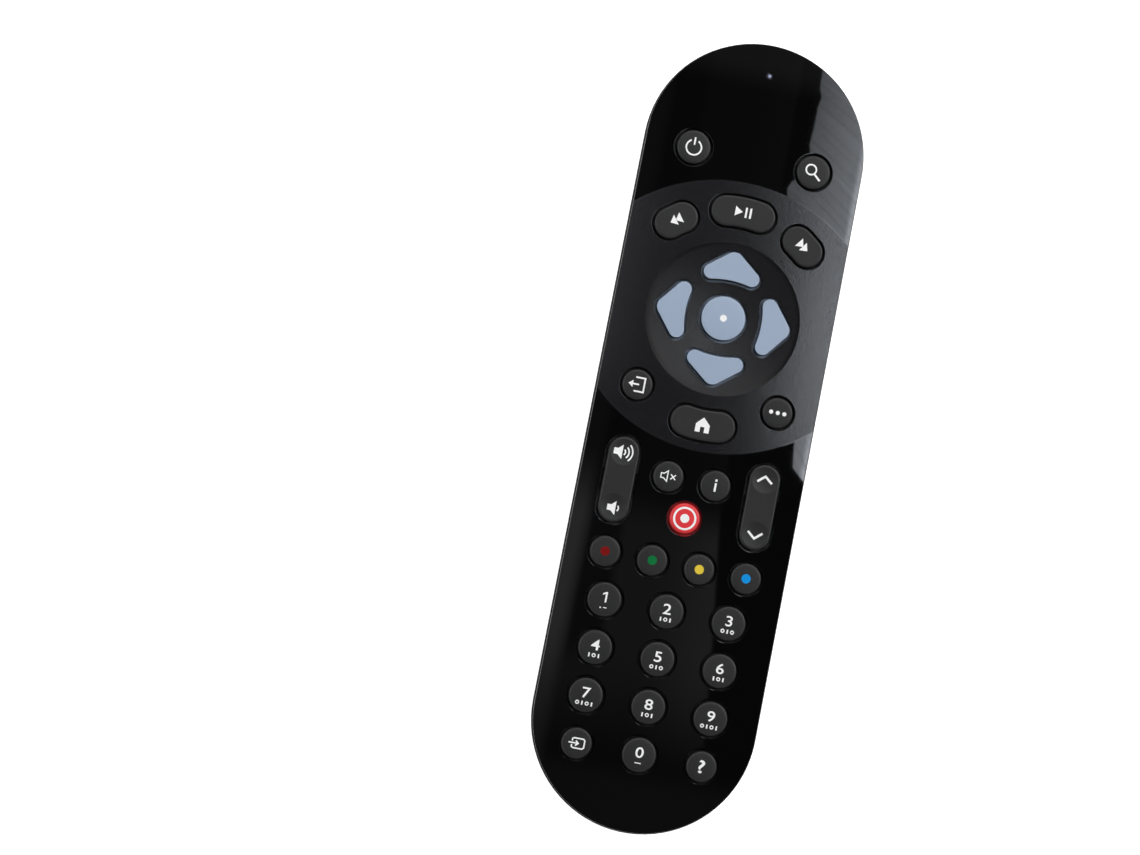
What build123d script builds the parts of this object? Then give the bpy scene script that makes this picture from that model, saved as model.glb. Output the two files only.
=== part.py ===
from build123d import *
from math import acos, asin, atan2, cos, degrees, hypot, pi, radians, sin
import os

os.makedirs("parts", exist_ok=True)

# The remote lies on its back. X runs across it, +Y to its top end, +Z up through the keys.

# Body: a straight middle with a full round end at each side, and a deeply rounded belly
LENGTH = 161.0
HALF_WIDTH = 22.5
RIM_HEIGHT = 1.6
INNER_FACETS = 6

# Walls and the gaps between pieces
CASING_WALL = 1.8
COVER_WALL = 1.4
SEAT_GAP = 0.15
COVER_SEAT = COVER_WALL + SEAT_GAP
SEAT_WALL = 1.2
COVER_GAP = 0.15
KEY_GAP = 0.25
SLIDE_GAP = 0.1

# Cells, LR03, lying side by side over the battery cover
CELL_RADIUS = 5.25
CELL_LENGTH = 44.5
CELL_NUB_RADIUS = 1.9
CELL_NUB_LENGTH = 0.8
CELL_SPACING = 0.3
CELL_GAP = 0.3
CELL_OVER_COVER = 1.0
CELL_X = CELL_RADIUS + CELL_SPACING / 2
CELL_Z = COVER_WALL + CELL_OVER_COVER + CELL_RADIUS
BAY_RADIUS = CELL_RADIUS + CELL_GAP
BAY_WALL = 1.0
BAY_ROOF_WALL = 0.4
BAY_ROOF = CELL_Z + BAY_RADIUS + BAY_ROOF_WALL

# Stack over the cells: board, rubber sheet, the lips that hold the keys in, plate and key tops
KEY_TRAVEL = 0.7
BOARD_GAP = 0.2
BOARD_THICKNESS = 1.0
BOARD_BOTTOM = BAY_ROOF + BOARD_GAP
BOARD_TOP = BOARD_BOTTOM + BOARD_THICKNESS
SHEET_THICKNESS = 0.5
PLATE_OVER_BOARD = 1.8
RIM_Z = BOARD_TOP + PLATE_OVER_BOARD
LIP_TOP = RIM_Z - SLIDE_GAP
LIP_THICKNESS = 0.4
LIP_BOTTOM = LIP_TOP - LIP_THICKNESS
LIP_WIDTH = 0.45
STEM_BOTTOM = BOARD_TOP + KEY_TRAVEL + SLIDE_GAP
STEM_SIDE = 3.0
STEM_GAP = 0.4
PLATE_THICKNESS = 1.4
PLATE_TOP = RIM_Z + PLATE_THICKNESS
KEY_RISE = 0.6
KEY_TOP = PLATE_TOP + KEY_RISE

# Round side of the body, tangent to the flat belly and to the wall under the rim
SIDE_RADIUS = RIM_Z - RIM_HEIGHT
BELLY_FLAT = HALF_WIDTH - SIDE_RADIUS

# Key places, from the middle of the ring
RING_Y = 23.5
OK_RADIUS = 4.55
FUNCTION_RADIUS = 3.15
DIGIT_RADIUS = 3.5
TOP_KEY_X = 12.4
TOP_KEY_Y = RING_Y + 32.9
RING_CORNER_X = 14.35
RING_CORNER_Y = RING_Y - 16.5
DIGIT_COLUMN = 12.6
DIGIT_TOP_ROW = RING_Y - 59.7
DIGIT_ROW_STEP = 9.57
BOTTOM_ROW = DIGIT_TOP_ROW - 3 * DIGIT_ROW_STEP
COLOUR_ROW = RING_Y - 50.3
COLOUR_STEP = 9.55
MUTE_X = 4.8
MUTE_ROW = RING_Y - 33.3
RECORD_Y = RING_Y - 40.9
PILL_RING_RADIUS = 21.9
PILL_HALF_WIDTH = 3.2
PILL_LIP_MARGIN = 2.0
ROCKER_X = 14.4
ROCKER_Y = RING_Y - 35.8
ROCKER_LENGTH = 17.4
ROCKER_WIDTH = 6.4
ROCKER_LIP_LENGTH = 4.0
ROCKER_STEM_OFFSET = 5.7
ARROW_BASE = 7.65
ARROW_APEX = 13.7
ARROW_APEX_RADIUS = 2.08
ARROW_CORNER_X = 4.19
ARROW_CORNER_Y = 8.85
ARROW_CORNER_RADIUS = 1.65
ARROW_STEM_RADIUS = 10.0
ARROW_LIP_WIDTH = 2.6

# Screw, in the free spot under the ring; the latch pocket, cell bay and cover follow it down the back
SCREW_Y = RING_Y - 28.5
SCREW_HEAD_RADIUS = 1.9
SCREW_SHANK_RADIUS = 0.9
SCREW_HEAD_HEIGHT = 1.3
SCREW_LENGTH = 6.0
BOSS_RADIUS = 1.7
BOSS_BOTTOM = 9.0
WELL_RADIUS = 2.15
WELL_WALL = 0.85
POCKET_RADIUS = 7.2
POCKET_TOP = 8.0
POCKET_WALL = 1.0
POCKET_SHIFT = 0.3
POCKET_Y = SCREW_Y - WELL_RADIUS - WELL_WALL - POCKET_RADIUS
BUTTON_Y = POCKET_Y - POCKET_SHIFT
LATCH_WALL = 0.6
CONTACT_THICKNESS = 0.4
CONTACT_SPRING_LENGTH = 1.6
BAY_TOP_Y = POCKET_Y - POCKET_RADIUS - LATCH_WALL
BAY_LENGTH = CELL_LENGTH + CONTACT_SPRING_LENGTH + 2 * CONTACT_THICKNESS
BAY_BOTTOM_Y = BAY_TOP_Y - BAY_LENGTH
BAY_MIDDLE_Y = (BAY_TOP_Y + BAY_BOTTOM_Y) / 2

# Battery cover, round the screw, the button and the bay
COVER_HALF_WIDTH = HALF_WIDTH - 6.0
COVER_TOP_Y = SCREW_Y + 2.6
COVER_ARCH_RADIUS = 30.0
COVER_TOP_CORNER = 8.0
COVER_BOTTOM_Y = BAY_BOTTOM_Y - 0.1
COVER_BOTTOM_CORNER = 14.0
SEAT_MARGIN = 1.2
TONGUE_WIDTH = 6.0
TONGUE_REACH = 1.0
TONGUE_ROOT = 1.4
TONGUE_BOTTOM = 1.9
TONGUE_THICKNESS = 0.7
TONGUE_SLOT_HEIGHT = 1.4

# Ends of the body: the lower one clears the cover, the upper one follows from the length
BOTTOM_END_Y = COVER_BOTTOM_Y - 10.5
TOP_END_Y = BOTTOM_END_Y + LENGTH
MIDDLE_Y = (TOP_END_Y + BOTTOM_END_Y) / 2
BOTTOM_CENTRE_Y = BOTTOM_END_Y + HALF_WIDTH
TOP_CENTRE_Y = TOP_END_Y - HALF_WIDTH
STRAIGHT = LENGTH - 2 * HALF_WIDTH

# Release button, its guide ring in the cover, and the clip and post that it parts
BUTTON_RADIUS = 5.45
BUTTON_FACE_Z = 0.1
BUTTON_RIM = 0.75
BUTTON_HOLLOW = 0.6
BUTTON_FLANGE_RADIUS = 6.0
BUTTON_FLANGE_BOTTOM = COVER_WALL + SLIDE_GAP
BUTTON_FLANGE_TOP = BUTTON_FLANGE_BOTTOM + 0.7
BUTTON_BOSS_INNER = 2.9
BUTTON_BOSS_OUTER = 3.5
BUTTON_BOSS_TOP = BUTTON_FLANGE_TOP + 2.8
RING_INNER = BUTTON_FLANGE_RADIUS + SLIDE_GAP
RING_OUTER = RING_INNER + 0.6
CLIP_BOTTOM = BUTTON_BOSS_TOP + 1.2
CLIP_TOP = CLIP_BOTTOM + 0.6
CLIP_HOLE_RADIUS = 2.6
CLIP_SLIT_WIDTH = 0.6
POST_NECK_RADIUS = 1.6
POST_HEAD_RADIUS = 2.2
POST_HEAD_TOP = CLIP_BOTTOM - 0.2
POST_BOTTOM = POST_HEAD_TOP - 0.7

# Contacts and springs
CONTACT_WIDTH = 7.6
CONTACT_HEIGHT = 7.2
SPRING_WIRE = 0.4
CONTACT_SPRING_WIDE = 3.8
CONTACT_SPRING_NARROW = 2.0
CONTACT_SPRING_TURNS = 2
RELEASE_SPRING_RADIUS = 4.7
RELEASE_SPRING_TURNS = 3
WIRE_SIDES = 4

# Front plate
PLATE_HALF_WIDTH = HALF_WIDTH - 0.45
PLATE_CHAMFER = 0.3
TAB_X = HALF_WIDTH - CASING_WALL - 0.3
TAB_THICKNESS = 1.0
TAB_DEPTH = 1.2
TAB_LENGTH = 9.0
TAB_PITCH = 38.0
DISH_RADIUS = 15.6
DISH_DEPTH = 0.4
LENS_Y = TOP_END_Y - 6.6
LENS_RADIUS = 0.55
LENS_FLANGE_RADIUS = 1.1
LENS_FLANGE_THICKNESS = 0.4

# Infrared window and emitter in the top end
WINDOW_WIDTH = 11.0
WINDOW_HEIGHT = 4.4
WINDOW_Z = BOARD_BOTTOM - 3.1
WINDOW_THICKNESS = 1.6
EMITTER_RADIUS = 2.5
EMITTER_CHAMFER = 0.8
EMITTER_FRONT_Y = TOP_END_Y - 4.0
EMITTER_LENGTH = 8.0
LEAD_SIDE = 0.5
LEAD_OFFSET = 1.27
LEAD_BEND_Y = EMITTER_FRONT_Y - EMITTER_LENGTH - 2.0

# Pips, ribs, board and keypad sheet
PIP_X = 9.6
PIP_Y = TOP_END_Y - 18.5
PIP_RADIUS = 1.0
RIB_PLACES = (RING_Y - 5.5, RING_Y + 18.5, TOP_END_Y - 18.5)
RIB_THICKNESS = 1.2
BOARD_HALF_WIDTH = HALF_WIDTH - CASING_WALL - 2.1
RIB_OPENING = BOARD_HALF_WIDTH
RIB_WEB_TOP = 3.9
SHEET_HALF_WIDTH = BOARD_HALF_WIDTH - 0.6
SHEET_TOP_Y = TOP_KEY_Y + 7.6

# Components on the board
LAMP_WIDTH = 1.6
LAMP_LENGTH = 0.8
LAMP_HEIGHT = 0.6
LAMP_GAP = 0.5
CHIP_Y = RING_Y + 6.5
CHIP_SIDE = 9.0
CHIP_HEIGHT = 1.2
CRYSTAL_X = 6.5
CRYSTAL_Y = RING_Y + 26.5
CRYSTAL_WIDTH = 4.0
CRYSTAL_LENGTH = 10.0
CRYSTAL_HEIGHT = 3.4
CRYSTAL_CORNER = 1.9
CAPACITOR_X = -6.5
CAPACITOR_Y = RING_Y + 22.5
CAPACITOR_RADIUS = 2.5
CAPACITOR_LENGTH = 11.0

ROUND_KEYS = {
    "power_key": (-TOP_KEY_X, TOP_KEY_Y, DIGIT_RADIUS),
    "search_key": (TOP_KEY_X, TOP_KEY_Y, DIGIT_RADIUS),
    "ok_key": (0, RING_Y, OK_RADIUS),
    "back_key": (-RING_CORNER_X, RING_CORNER_Y, FUNCTION_RADIUS),
    "more_key": (RING_CORNER_X, RING_CORNER_Y, FUNCTION_RADIUS),
    "mute_key": (-MUTE_X, MUTE_ROW, FUNCTION_RADIUS),
    "info_key": (MUTE_X, MUTE_ROW, FUNCTION_RADIUS),
    "record_key": (0, RECORD_Y, FUNCTION_RADIUS),
}
for step, colour in enumerate(("red", "green", "yellow", "blue")):
    ROUND_KEYS[f"{colour}_key"] = ((step - 1.5) * COLOUR_STEP, COLOUR_ROW, FUNCTION_RADIUS)
for digit in range(1, 10):
    row, column = divmod(digit - 1, 3)
    ROUND_KEYS[f"digit_{digit}_key"] = (
        (column - 1) * DIGIT_COLUMN,
        DIGIT_TOP_ROW - row * DIGIT_ROW_STEP,
        DIGIT_RADIUS,
    )
ROUND_KEYS["digit_0_key"] = (0, BOTTOM_ROW, DIGIT_RADIUS)
ROUND_KEYS["input_key"] = (-DIGIT_COLUMN, BOTTOM_ROW, FUNCTION_RADIUS)
ROUND_KEYS["help_key"] = (DIGIT_COLUMN, BOTTOM_ROW, FUNCTION_RADIUS)

# Curved keys on a ring about the OK key: middle angle and half of the arc, in degrees
RING_KEY_ANGLES = {
    "play_pause_key": (90.0, 9.1),
    "home_key": (270.0, 9.1),
    "rewind_key": (126.6, 3.75),
    "fast_forward_key": (53.4, 3.75),
}
ARROW_KEY_ANGLES = {"up_key": 0, "left_key": 90, "down_key": 180, "right_key": 270}
ROCKER_KEYS = {"volume_rocker": -ROCKER_X, "channel_rocker": ROCKER_X}
ALL_KEYS = [*ROUND_KEYS, *RING_KEY_ANGLES, *ARROW_KEY_ANGLES, *ROCKER_KEYS]


def save(part, name):
    """Labels a finished piece and writes it under its own name."""
    part.label = name
    export_step(part, f"parts/{name}.step")


# Body forms


def outer_section():
    """Half of the body's cross-section: flat belly, a round side and a short upright wall at the rim."""
    with BuildSketch() as half:
        with BuildLine():
            Line((0, 0), (BELLY_FLAT, 0))
            CenterArc((BELLY_FLAT, SIDE_RADIUS), SIDE_RADIUS, -90, 90)
            Polyline((HALF_WIDTH, SIDE_RADIUS), (HALF_WIDTH, RIM_Z), (0, RIM_Z), (0, 0))
        make_face()
    return half.sketch


def inner_section(inset):
    """The same half section inside the outer surface by the inset, with its hidden round side in facets."""
    radius = SIDE_RADIUS - inset
    turns = [radians(90 * step / INNER_FACETS) for step in range(INNER_FACETS + 1)]
    side = [(BELLY_FLAT + radius * sin(turn), SIDE_RADIUS - radius * cos(turn)) for turn in turns]
    with BuildSketch() as half:
        with BuildLine():
            Polyline((0, inset), *side, (HALF_WIDTH - inset, RIM_Z), (0, RIM_Z), close=True)
        make_face()
    return half.sketch


def body_form(half):
    """The whole body below the rim, from half of its cross-section."""
    with BuildPart() as form:
        with BuildSketch(Plane.XZ.offset(-BOTTOM_CENTRE_Y)):
            add(half)
            mirror(about=Plane.YZ)
        extrude(amount=-STRAIGHT)
        for centre_y, turning in ((TOP_CENTRE_Y, 1), (BOTTOM_CENTRE_Y, -1)):
            with BuildSketch(Plane.XZ.offset(-centre_y)):
                add(half)
            revolve(axis=Axis((0, centre_y, 0), (0, 0, turning)), revolution_arc=180)
    return form.part


def cover_plan(grow=0.0):
    """Plan of the battery cover: arched at the top, nearly a half round at the bottom."""
    shoulder = COVER_TOP_Y - COVER_ARCH_RADIUS * (1 - cos(asin(COVER_HALF_WIDTH / COVER_ARCH_RADIUS)))
    left_top = (-COVER_HALF_WIDTH, shoulder)
    right_top = (COVER_HALF_WIDTH, shoulder)
    with BuildSketch() as plan:
        with BuildLine():
            ThreePointArc(left_top, (0, COVER_TOP_Y), right_top)
            Polyline(
                right_top,
                (COVER_HALF_WIDTH, COVER_BOTTOM_Y),
                (-COVER_HALF_WIDTH, COVER_BOTTOM_Y),
                left_top,
            )
        make_face()
        corners = plan.vertices().sort_by(Axis.Y)
        fillet(corners[:2], radius=COVER_BOTTOM_CORNER)
        fillet(plan.vertices().sort_by(Axis.Y)[-2:], radius=COVER_TOP_CORNER)
        if grow:
            offset(amount=grow)
    return plan.sketch


def stadium(half_width):
    """A straight-sided outline with full round ends, parallel to the body's own."""
    with BuildSketch() as plan:
        with Locations((0, MIDDLE_Y)):
            SlotCenterToCenter(STRAIGHT, 2 * half_width, rotation=90)
    return plan.sketch


# Key outlines


def arrow_plan(grow):
    """Outline of the arrow key that points up, about the middle of the ring, of tangent arcs and lines."""
    drop = ARROW_CORNER_Y - ARROW_BASE
    base_radius = (ARROW_CORNER_X**2 + drop**2 - ARROW_CORNER_RADIUS**2) / (2 * (ARROW_CORNER_RADIUS - drop))
    base_y = ARROW_BASE - base_radius
    base_angle = degrees(atan2(ARROW_CORNER_Y - base_y, ARROW_CORNER_X))
    apex_y = ARROW_APEX - ARROW_APEX_RADIUS
    rise = apex_y - ARROW_CORNER_Y
    lean = degrees(acos((ARROW_CORNER_RADIUS - ARROW_APEX_RADIUS) / hypot(ARROW_CORNER_X, rise)))
    side_angle = degrees(atan2(rise, -ARROW_CORNER_X)) - lean
    corner_turn = side_angle + 180 - base_angle
    corner_radius = ARROW_CORNER_RADIUS + grow
    with BuildSketch() as plan:
        with BuildLine():
            CenterArc((0, base_y), base_radius - grow, base_angle, 180 - 2 * base_angle)
            right = CenterArc((ARROW_CORNER_X, ARROW_CORNER_Y), corner_radius, base_angle - 180, corner_turn)
            left = CenterArc((-ARROW_CORNER_X, ARROW_CORNER_Y), corner_radius, 180 - side_angle, corner_turn)
            apex = CenterArc((0, apex_y), ARROW_APEX_RADIUS + grow, side_angle, 180 - 2 * side_angle)
            Line(right @ 1, apex @ 0)
            Line(apex @ 1, left @ 0)
        make_face()
    return plan.sketch


def key_plan(name, grow=0.0):
    """Outline of one key seen from above, grown all round by a clearance."""
    with BuildSketch() as plan:
        if name in ROUND_KEYS:
            x, y, radius = ROUND_KEYS[name]
            with Locations((x, y)):
                Circle(radius + grow)
        elif name in RING_KEY_ANGLES:
            middle, half = RING_KEY_ANGLES[name]
            arc = CenterArc((0, 0), PILL_RING_RADIUS, middle - half, 2 * half, mode=Mode.PRIVATE)
            with Locations((0, RING_Y)):
                SlotArc(arc, 2 * (PILL_HALF_WIDTH + grow))
        elif name in ROCKER_KEYS:
            with Locations((ROCKER_KEYS[name], ROCKER_Y)):
                SlotOverall(ROCKER_LENGTH + 2 * grow, ROCKER_WIDTH + 2 * grow, rotation=90)
        else:
            with Locations((0, RING_Y)):
                add(arrow_plan(grow), rotation=ARROW_KEY_ANGLES[name])
    return plan.sketch


def stem_places(name):
    """Middles of the stems that press on the board: one for each key, two for a rocker."""
    if name in ROUND_KEYS:
        x, y, radius = ROUND_KEYS[name]
        return [(x, y)]
    if name in RING_KEY_ANGLES:
        angle = radians(RING_KEY_ANGLES[name][0])
        return [(PILL_RING_RADIUS * cos(angle), RING_Y + PILL_RING_RADIUS * sin(angle))]
    if name in ARROW_KEY_ANGLES:
        angle = radians(90 + ARROW_KEY_ANGLES[name])
        return [(ARROW_STEM_RADIUS * cos(angle), RING_Y + ARROW_STEM_RADIUS * sin(angle))]
    return [(ROCKER_KEYS[name], ROCKER_Y + side * ROCKER_STEM_OFFSET) for side in (-1, 1)]


def lip_plan(name):
    """Lip under the plate: eight-sided on a round key, a cross band on every other."""
    with BuildSketch() as plan:
        if name in ROUND_KEYS:
            x, y, radius = ROUND_KEYS[name]
            with Locations((x, y)):
                RegularPolygon(radius + LIP_WIDTH, 8, major_radius=False)
        elif name in ROCKER_KEYS:
            with Locations((ROCKER_KEYS[name], ROCKER_Y)):
                Rectangle(ROCKER_WIDTH + 2 * LIP_WIDTH, ROCKER_LIP_LENGTH)
        elif name in RING_KEY_ANGLES:
            middle, half = RING_KEY_ANGLES[name]
            band = 2 * (PILL_RING_RADIUS * sin(radians(half)) + PILL_LIP_MARGIN)
            with Locations(*stem_places(name)):
                Rectangle(2 * (PILL_HALF_WIDTH + LIP_WIDTH), band, rotation=middle)
        else:
            reach = ARROW_CORNER_X + ARROW_CORNER_RADIUS + LIP_WIDTH
            turn = ARROW_KEY_ANGLES[name]
            place = (-ARROW_CORNER_Y * sin(radians(turn)), RING_Y + ARROW_CORNER_Y * cos(radians(turn)))
            with Locations(place):
                Rectangle(2 * reach, ARROW_LIP_WIDTH, rotation=turn)
    return plan.sketch


def make_key(name):
    """A key cap with the lip that keeps it in the plate and the stems that reach the board."""
    lip_bottom = LIP_BOTTOM - (2 * SLIDE_GAP if name in ROCKER_KEYS else 0)
    with BuildPart() as key:
        with BuildSketch(Plane.XY.offset(lip_bottom)):
            add(key_plan(name))
        extrude(amount=KEY_TOP - lip_bottom)
        with BuildSketch(Plane.XY.offset(lip_bottom)):
            add(lip_plan(name))
        extrude(amount=LIP_THICKNESS)
        with BuildSketch(Plane.XY.offset(STEM_BOTTOM)):
            with Locations(*stem_places(name)):
                Rectangle(STEM_SIDE, STEM_SIDE)
        extrude(amount=lip_bottom - STEM_BOTTOM)
    save(key.part, name)


for key_name in ALL_KEYS:
    make_key(key_name)

# Front plate: key holes, the shallow dish of the ring, tabs that sit inside the casing and the screw boss
with BuildPart() as front_plate:
    with BuildSketch(Plane.XY.offset(RIM_Z)):
        add(stadium(PLATE_HALF_WIDTH))
    extrude(amount=PLATE_THICKNESS)
    chamfer(front_plate.faces().sort_by(Axis.Z)[-1].edges(), length=PLATE_CHAMFER)
    with BuildSketch(Plane.XZ.offset(-RING_Y)):
        with BuildLine():
            TangentArc((0, PLATE_TOP - DISH_DEPTH), (DISH_RADIUS, PLATE_TOP), tangent=(1, 0))
            Polyline((DISH_RADIUS, PLATE_TOP), (0, PLATE_TOP), (0, PLATE_TOP - DISH_DEPTH))
        make_face()
    revolve(axis=Axis((0, RING_Y, 0), (0, 0, 1)), mode=Mode.SUBTRACT)
    with BuildSketch(Plane.XY.offset(RIM_Z)):
        with GridLocations(2 * TAB_X - TAB_THICKNESS, TAB_PITCH, 2, 3):
            Rectangle(TAB_THICKNESS, TAB_LENGTH)
    extrude(amount=-TAB_DEPTH)
    with BuildSketch(Plane.XY.offset(RIM_Z)):
        for key_name in ALL_KEYS:
            add(key_plan(key_name, KEY_GAP))
        with Locations((0, LENS_Y)):
            Circle(LENS_RADIUS + SLIDE_GAP / 2)
    extrude(amount=PLATE_THICKNESS, mode=Mode.SUBTRACT)
    with BuildSketch(Plane.XY.offset(RIM_Z)):
        with Locations((0, SCREW_Y)):
            Circle(BOSS_RADIUS)
    extrude(amount=BOSS_BOTTOM - RIM_Z)
    with BuildSketch(Plane.XY.offset(BOSS_BOTTOM)):
        with Locations((0, SCREW_Y)):
            Circle(SCREW_SHANK_RADIUS + SLIDE_GAP / 2)
    extrude(amount=SCREW_LENGTH, mode=Mode.SUBTRACT)
save(front_plate.part, "front_plate")

# Solids at a set depth inside the outer surface, from which the shells are cut
outer_form = body_form(outer_section())
cover_inner_form = body_form(inner_section(COVER_WALL))
window_inner_form = body_form(inner_section(WINDOW_THICKNESS))
seat_form = body_form(inner_section(COVER_SEAT))
seat_inner_form = body_form(inner_section(COVER_SEAT + SEAT_WALL))
cavity_form = body_form(inner_section(CASING_WALL))

# What the rear casing adds inside its shell: the cover's seat, the cell bay, the latch pocket and ribs
with BuildPart() as seat:
    with BuildSketch():
        add(cover_plan(SEAT_MARGIN))
    extrude(amount=RIM_Z / 2)
    add(seat_form, mode=Mode.INTERSECT)
    add(seat_inner_form, mode=Mode.SUBTRACT)

with BuildPart() as inner_walls:
    with BuildSketch():
        with Locations((0, BAY_MIDDLE_Y)):
            Rectangle(2 * (CELL_X + BAY_RADIUS + BAY_WALL), BAY_LENGTH + 2 * BAY_WALL)
    extrude(amount=BAY_ROOF)
    with BuildSketch():
        with Locations((0, POCKET_Y)):
            Circle(POCKET_RADIUS + POCKET_WALL)
        with Locations((0, SCREW_Y)):
            Circle(WELL_RADIUS + POCKET_WALL)
    extrude(amount=POCKET_TOP + POCKET_WALL)
    for rib_y in RIB_PLACES:
        with BuildSketch(Plane.XZ.offset(-rib_y)):
            Rectangle(2 * BOARD_HALF_WIDTH, BAY_ROOF, align=(Align.CENTER, Align.MIN))
            with Locations((0, RIB_WEB_TOP)):
                Rectangle(RIB_OPENING, BAY_ROOF, align=(Align.CENTER, Align.MIN), mode=Mode.SUBTRACT)
        extrude(amount=RIB_THICKNESS / 2, both=True)
    add(seat_form, mode=Mode.INTERSECT)

# What is cut from the rear casing: the cover's recess, the bay and pocket hollows and the window
with BuildPart() as recess:
    with BuildSketch():
        add(cover_plan(COVER_GAP))
    extrude(amount=RIM_Z / 2)
    add(seat_form, mode=Mode.SUBTRACT)

with BuildPart() as hollows:
    with BuildSketch():
        add(cover_plan(-SEAT_MARGIN))
        with Locations((0, BAY_MIDDLE_Y)):
            Rectangle(2 * (CELL_X + BAY_RADIUS), BAY_LENGTH, mode=Mode.INTERSECT)
    extrude(amount=CELL_Z)
    with BuildSketch(Plane.XZ.offset(-BAY_TOP_Y)):
        with Locations((-CELL_X, CELL_Z), (CELL_X, CELL_Z)):
            Circle(BAY_RADIUS)
    extrude(amount=BAY_LENGTH - CONTACT_THICKNESS - CELL_NUB_LENGTH + SLIDE_GAP)
    with BuildSketch(Plane.XZ.offset(-BAY_TOP_Y)):
        with Locations((0, CELL_Z)):
            Rectangle(2 * CELL_X + CONTACT_WIDTH + 2 * SLIDE_GAP, CONTACT_HEIGHT + 2 * SLIDE_GAP)
    extrude(amount=BAY_LENGTH)
    with BuildSketch():
        with Locations((0, POCKET_Y)):
            Circle(POCKET_RADIUS)
        with Locations((0, SCREW_Y)):
            Circle(WELL_RADIUS)
    extrude(amount=POCKET_TOP)
    with BuildSketch(Plane.XY.offset(POCKET_TOP)):
        with Locations((0, SCREW_Y)):
            Circle(SCREW_SHANK_RADIUS + SLIDE_GAP)
    extrude(amount=2 * POCKET_WALL)

with BuildPart() as tongue_slot:
    with BuildSketch(Plane.XY.offset(TONGUE_BOTTOM - SLIDE_GAP)):
        with Locations((0, COVER_BOTTOM_Y - TONGUE_REACH - 2 * COVER_GAP)):
            Rectangle(
                TONGUE_WIDTH + 4 * COVER_GAP,
                TONGUE_REACH + TONGUE_ROOT + 4 * COVER_GAP,
                align=(Align.CENTER, Align.MIN),
            )
    extrude(amount=TONGUE_SLOT_HEIGHT)

with BuildPart() as window_hole:
    with BuildSketch(Plane.XZ.offset(-TOP_CENTRE_Y)):
        with Locations((0, WINDOW_Z)):
            SlotOverall(WINDOW_WIDTH + SLIDE_GAP, WINDOW_HEIGHT + SLIDE_GAP)
    extrude(amount=-HALF_WIDTH)

# Rear casing, with the latch post in its pocket and the two pips of the back
with BuildPart() as rear_casing:
    add(outer_form)
    add(cavity_form, mode=Mode.SUBTRACT)
    add(seat.part)
    add(inner_walls.part)
    add(recess.part, mode=Mode.SUBTRACT)
    add(hollows.part, mode=Mode.SUBTRACT)
    add(tongue_slot.part, mode=Mode.SUBTRACT)
    add(window_hole.part, mode=Mode.SUBTRACT)
    with BuildSketch(Plane.XY.offset(POCKET_TOP)):
        with Locations((0, BUTTON_Y)):
            Circle(POST_NECK_RADIUS)
    extrude(amount=POST_BOTTOM - POCKET_TOP)
    with BuildSketch(Plane.XY.offset(POST_BOTTOM)):
        with Locations((0, BUTTON_Y)):
            Circle(POST_HEAD_RADIUS)
    extrude(amount=POST_HEAD_TOP - POST_BOTTOM)
    with BuildSketch():
        with Locations((-PIP_X, PIP_Y), (PIP_X, PIP_Y)):
            Circle(PIP_RADIUS)
    extrude(amount=CASING_WALL)
save(rear_casing.part, "rear_casing")

# Battery cover: a shell of even thickness with the button's hole, guide ring and end tongue
with BuildPart() as battery_cover:
    with BuildSketch():
        add(cover_plan())
    extrude(amount=RIM_Z / 2)
    add(outer_form, mode=Mode.INTERSECT)
    add(cover_inner_form, mode=Mode.SUBTRACT)
    with BuildSketch(Plane.XY.offset(TONGUE_BOTTOM)):
        with Locations((0, COVER_BOTTOM_Y - TONGUE_REACH)):
            Rectangle(TONGUE_WIDTH, TONGUE_REACH + TONGUE_ROOT, align=(Align.CENTER, Align.MIN))
    extrude(amount=TONGUE_THICKNESS)
    with BuildSketch(Plane.XY.offset(BUTTON_FACE_Z)):
        with Locations((0, BUTTON_Y)):
            Circle(RING_OUTER)
    extrude(amount=CLIP_BOTTOM - BUTTON_FACE_Z)
    with BuildSketch(Plane.XY.offset(COVER_WALL)):
        with Locations((0, BUTTON_Y)):
            Circle(RING_INNER)
    extrude(amount=CLIP_BOTTOM, mode=Mode.SUBTRACT)
    with BuildSketch():
        with Locations((0, BUTTON_Y)):
            Circle(BUTTON_RADIUS + COVER_GAP)
    extrude(amount=CLIP_BOTTOM, mode=Mode.SUBTRACT)
save(battery_cover.part, "battery_cover")

# Release button: hollow face, holding flange and the hollow boss inside its spring
with BuildPart() as release_button:
    face_radius = BUTTON_RADIUS - BUTTON_RIM
    face_sphere = (face_radius**2 + BUTTON_HOLLOW**2) / (2 * BUTTON_HOLLOW)
    face_turn = degrees(asin(face_radius / face_sphere))
    face_centre = (0, BUTTON_FACE_Z + BUTTON_HOLLOW - face_sphere)
    with BuildSketch(Plane.XZ.offset(-BUTTON_Y)):
        with BuildLine():
            hollow = CenterArc(face_centre, face_sphere, 90, -face_turn)
            Polyline(
                hollow @ 1,
                (BUTTON_RADIUS, BUTTON_FACE_Z),
                (BUTTON_RADIUS, BUTTON_FLANGE_BOTTOM),
                (BUTTON_FLANGE_RADIUS, BUTTON_FLANGE_BOTTOM),
                (BUTTON_FLANGE_RADIUS, BUTTON_FLANGE_TOP),
                (BUTTON_BOSS_OUTER, BUTTON_FLANGE_TOP),
                (BUTTON_BOSS_OUTER, BUTTON_BOSS_TOP),
                (BUTTON_BOSS_INNER, BUTTON_BOSS_TOP),
                (BUTTON_BOSS_INNER, BUTTON_FLANGE_TOP),
                (0, BUTTON_FLANGE_TOP),
                hollow @ 0,
            )
        make_face()
    revolve(axis=Axis((0, BUTTON_Y, 0), (0, 0, 1)))
save(release_button.part, "release_button")

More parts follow.
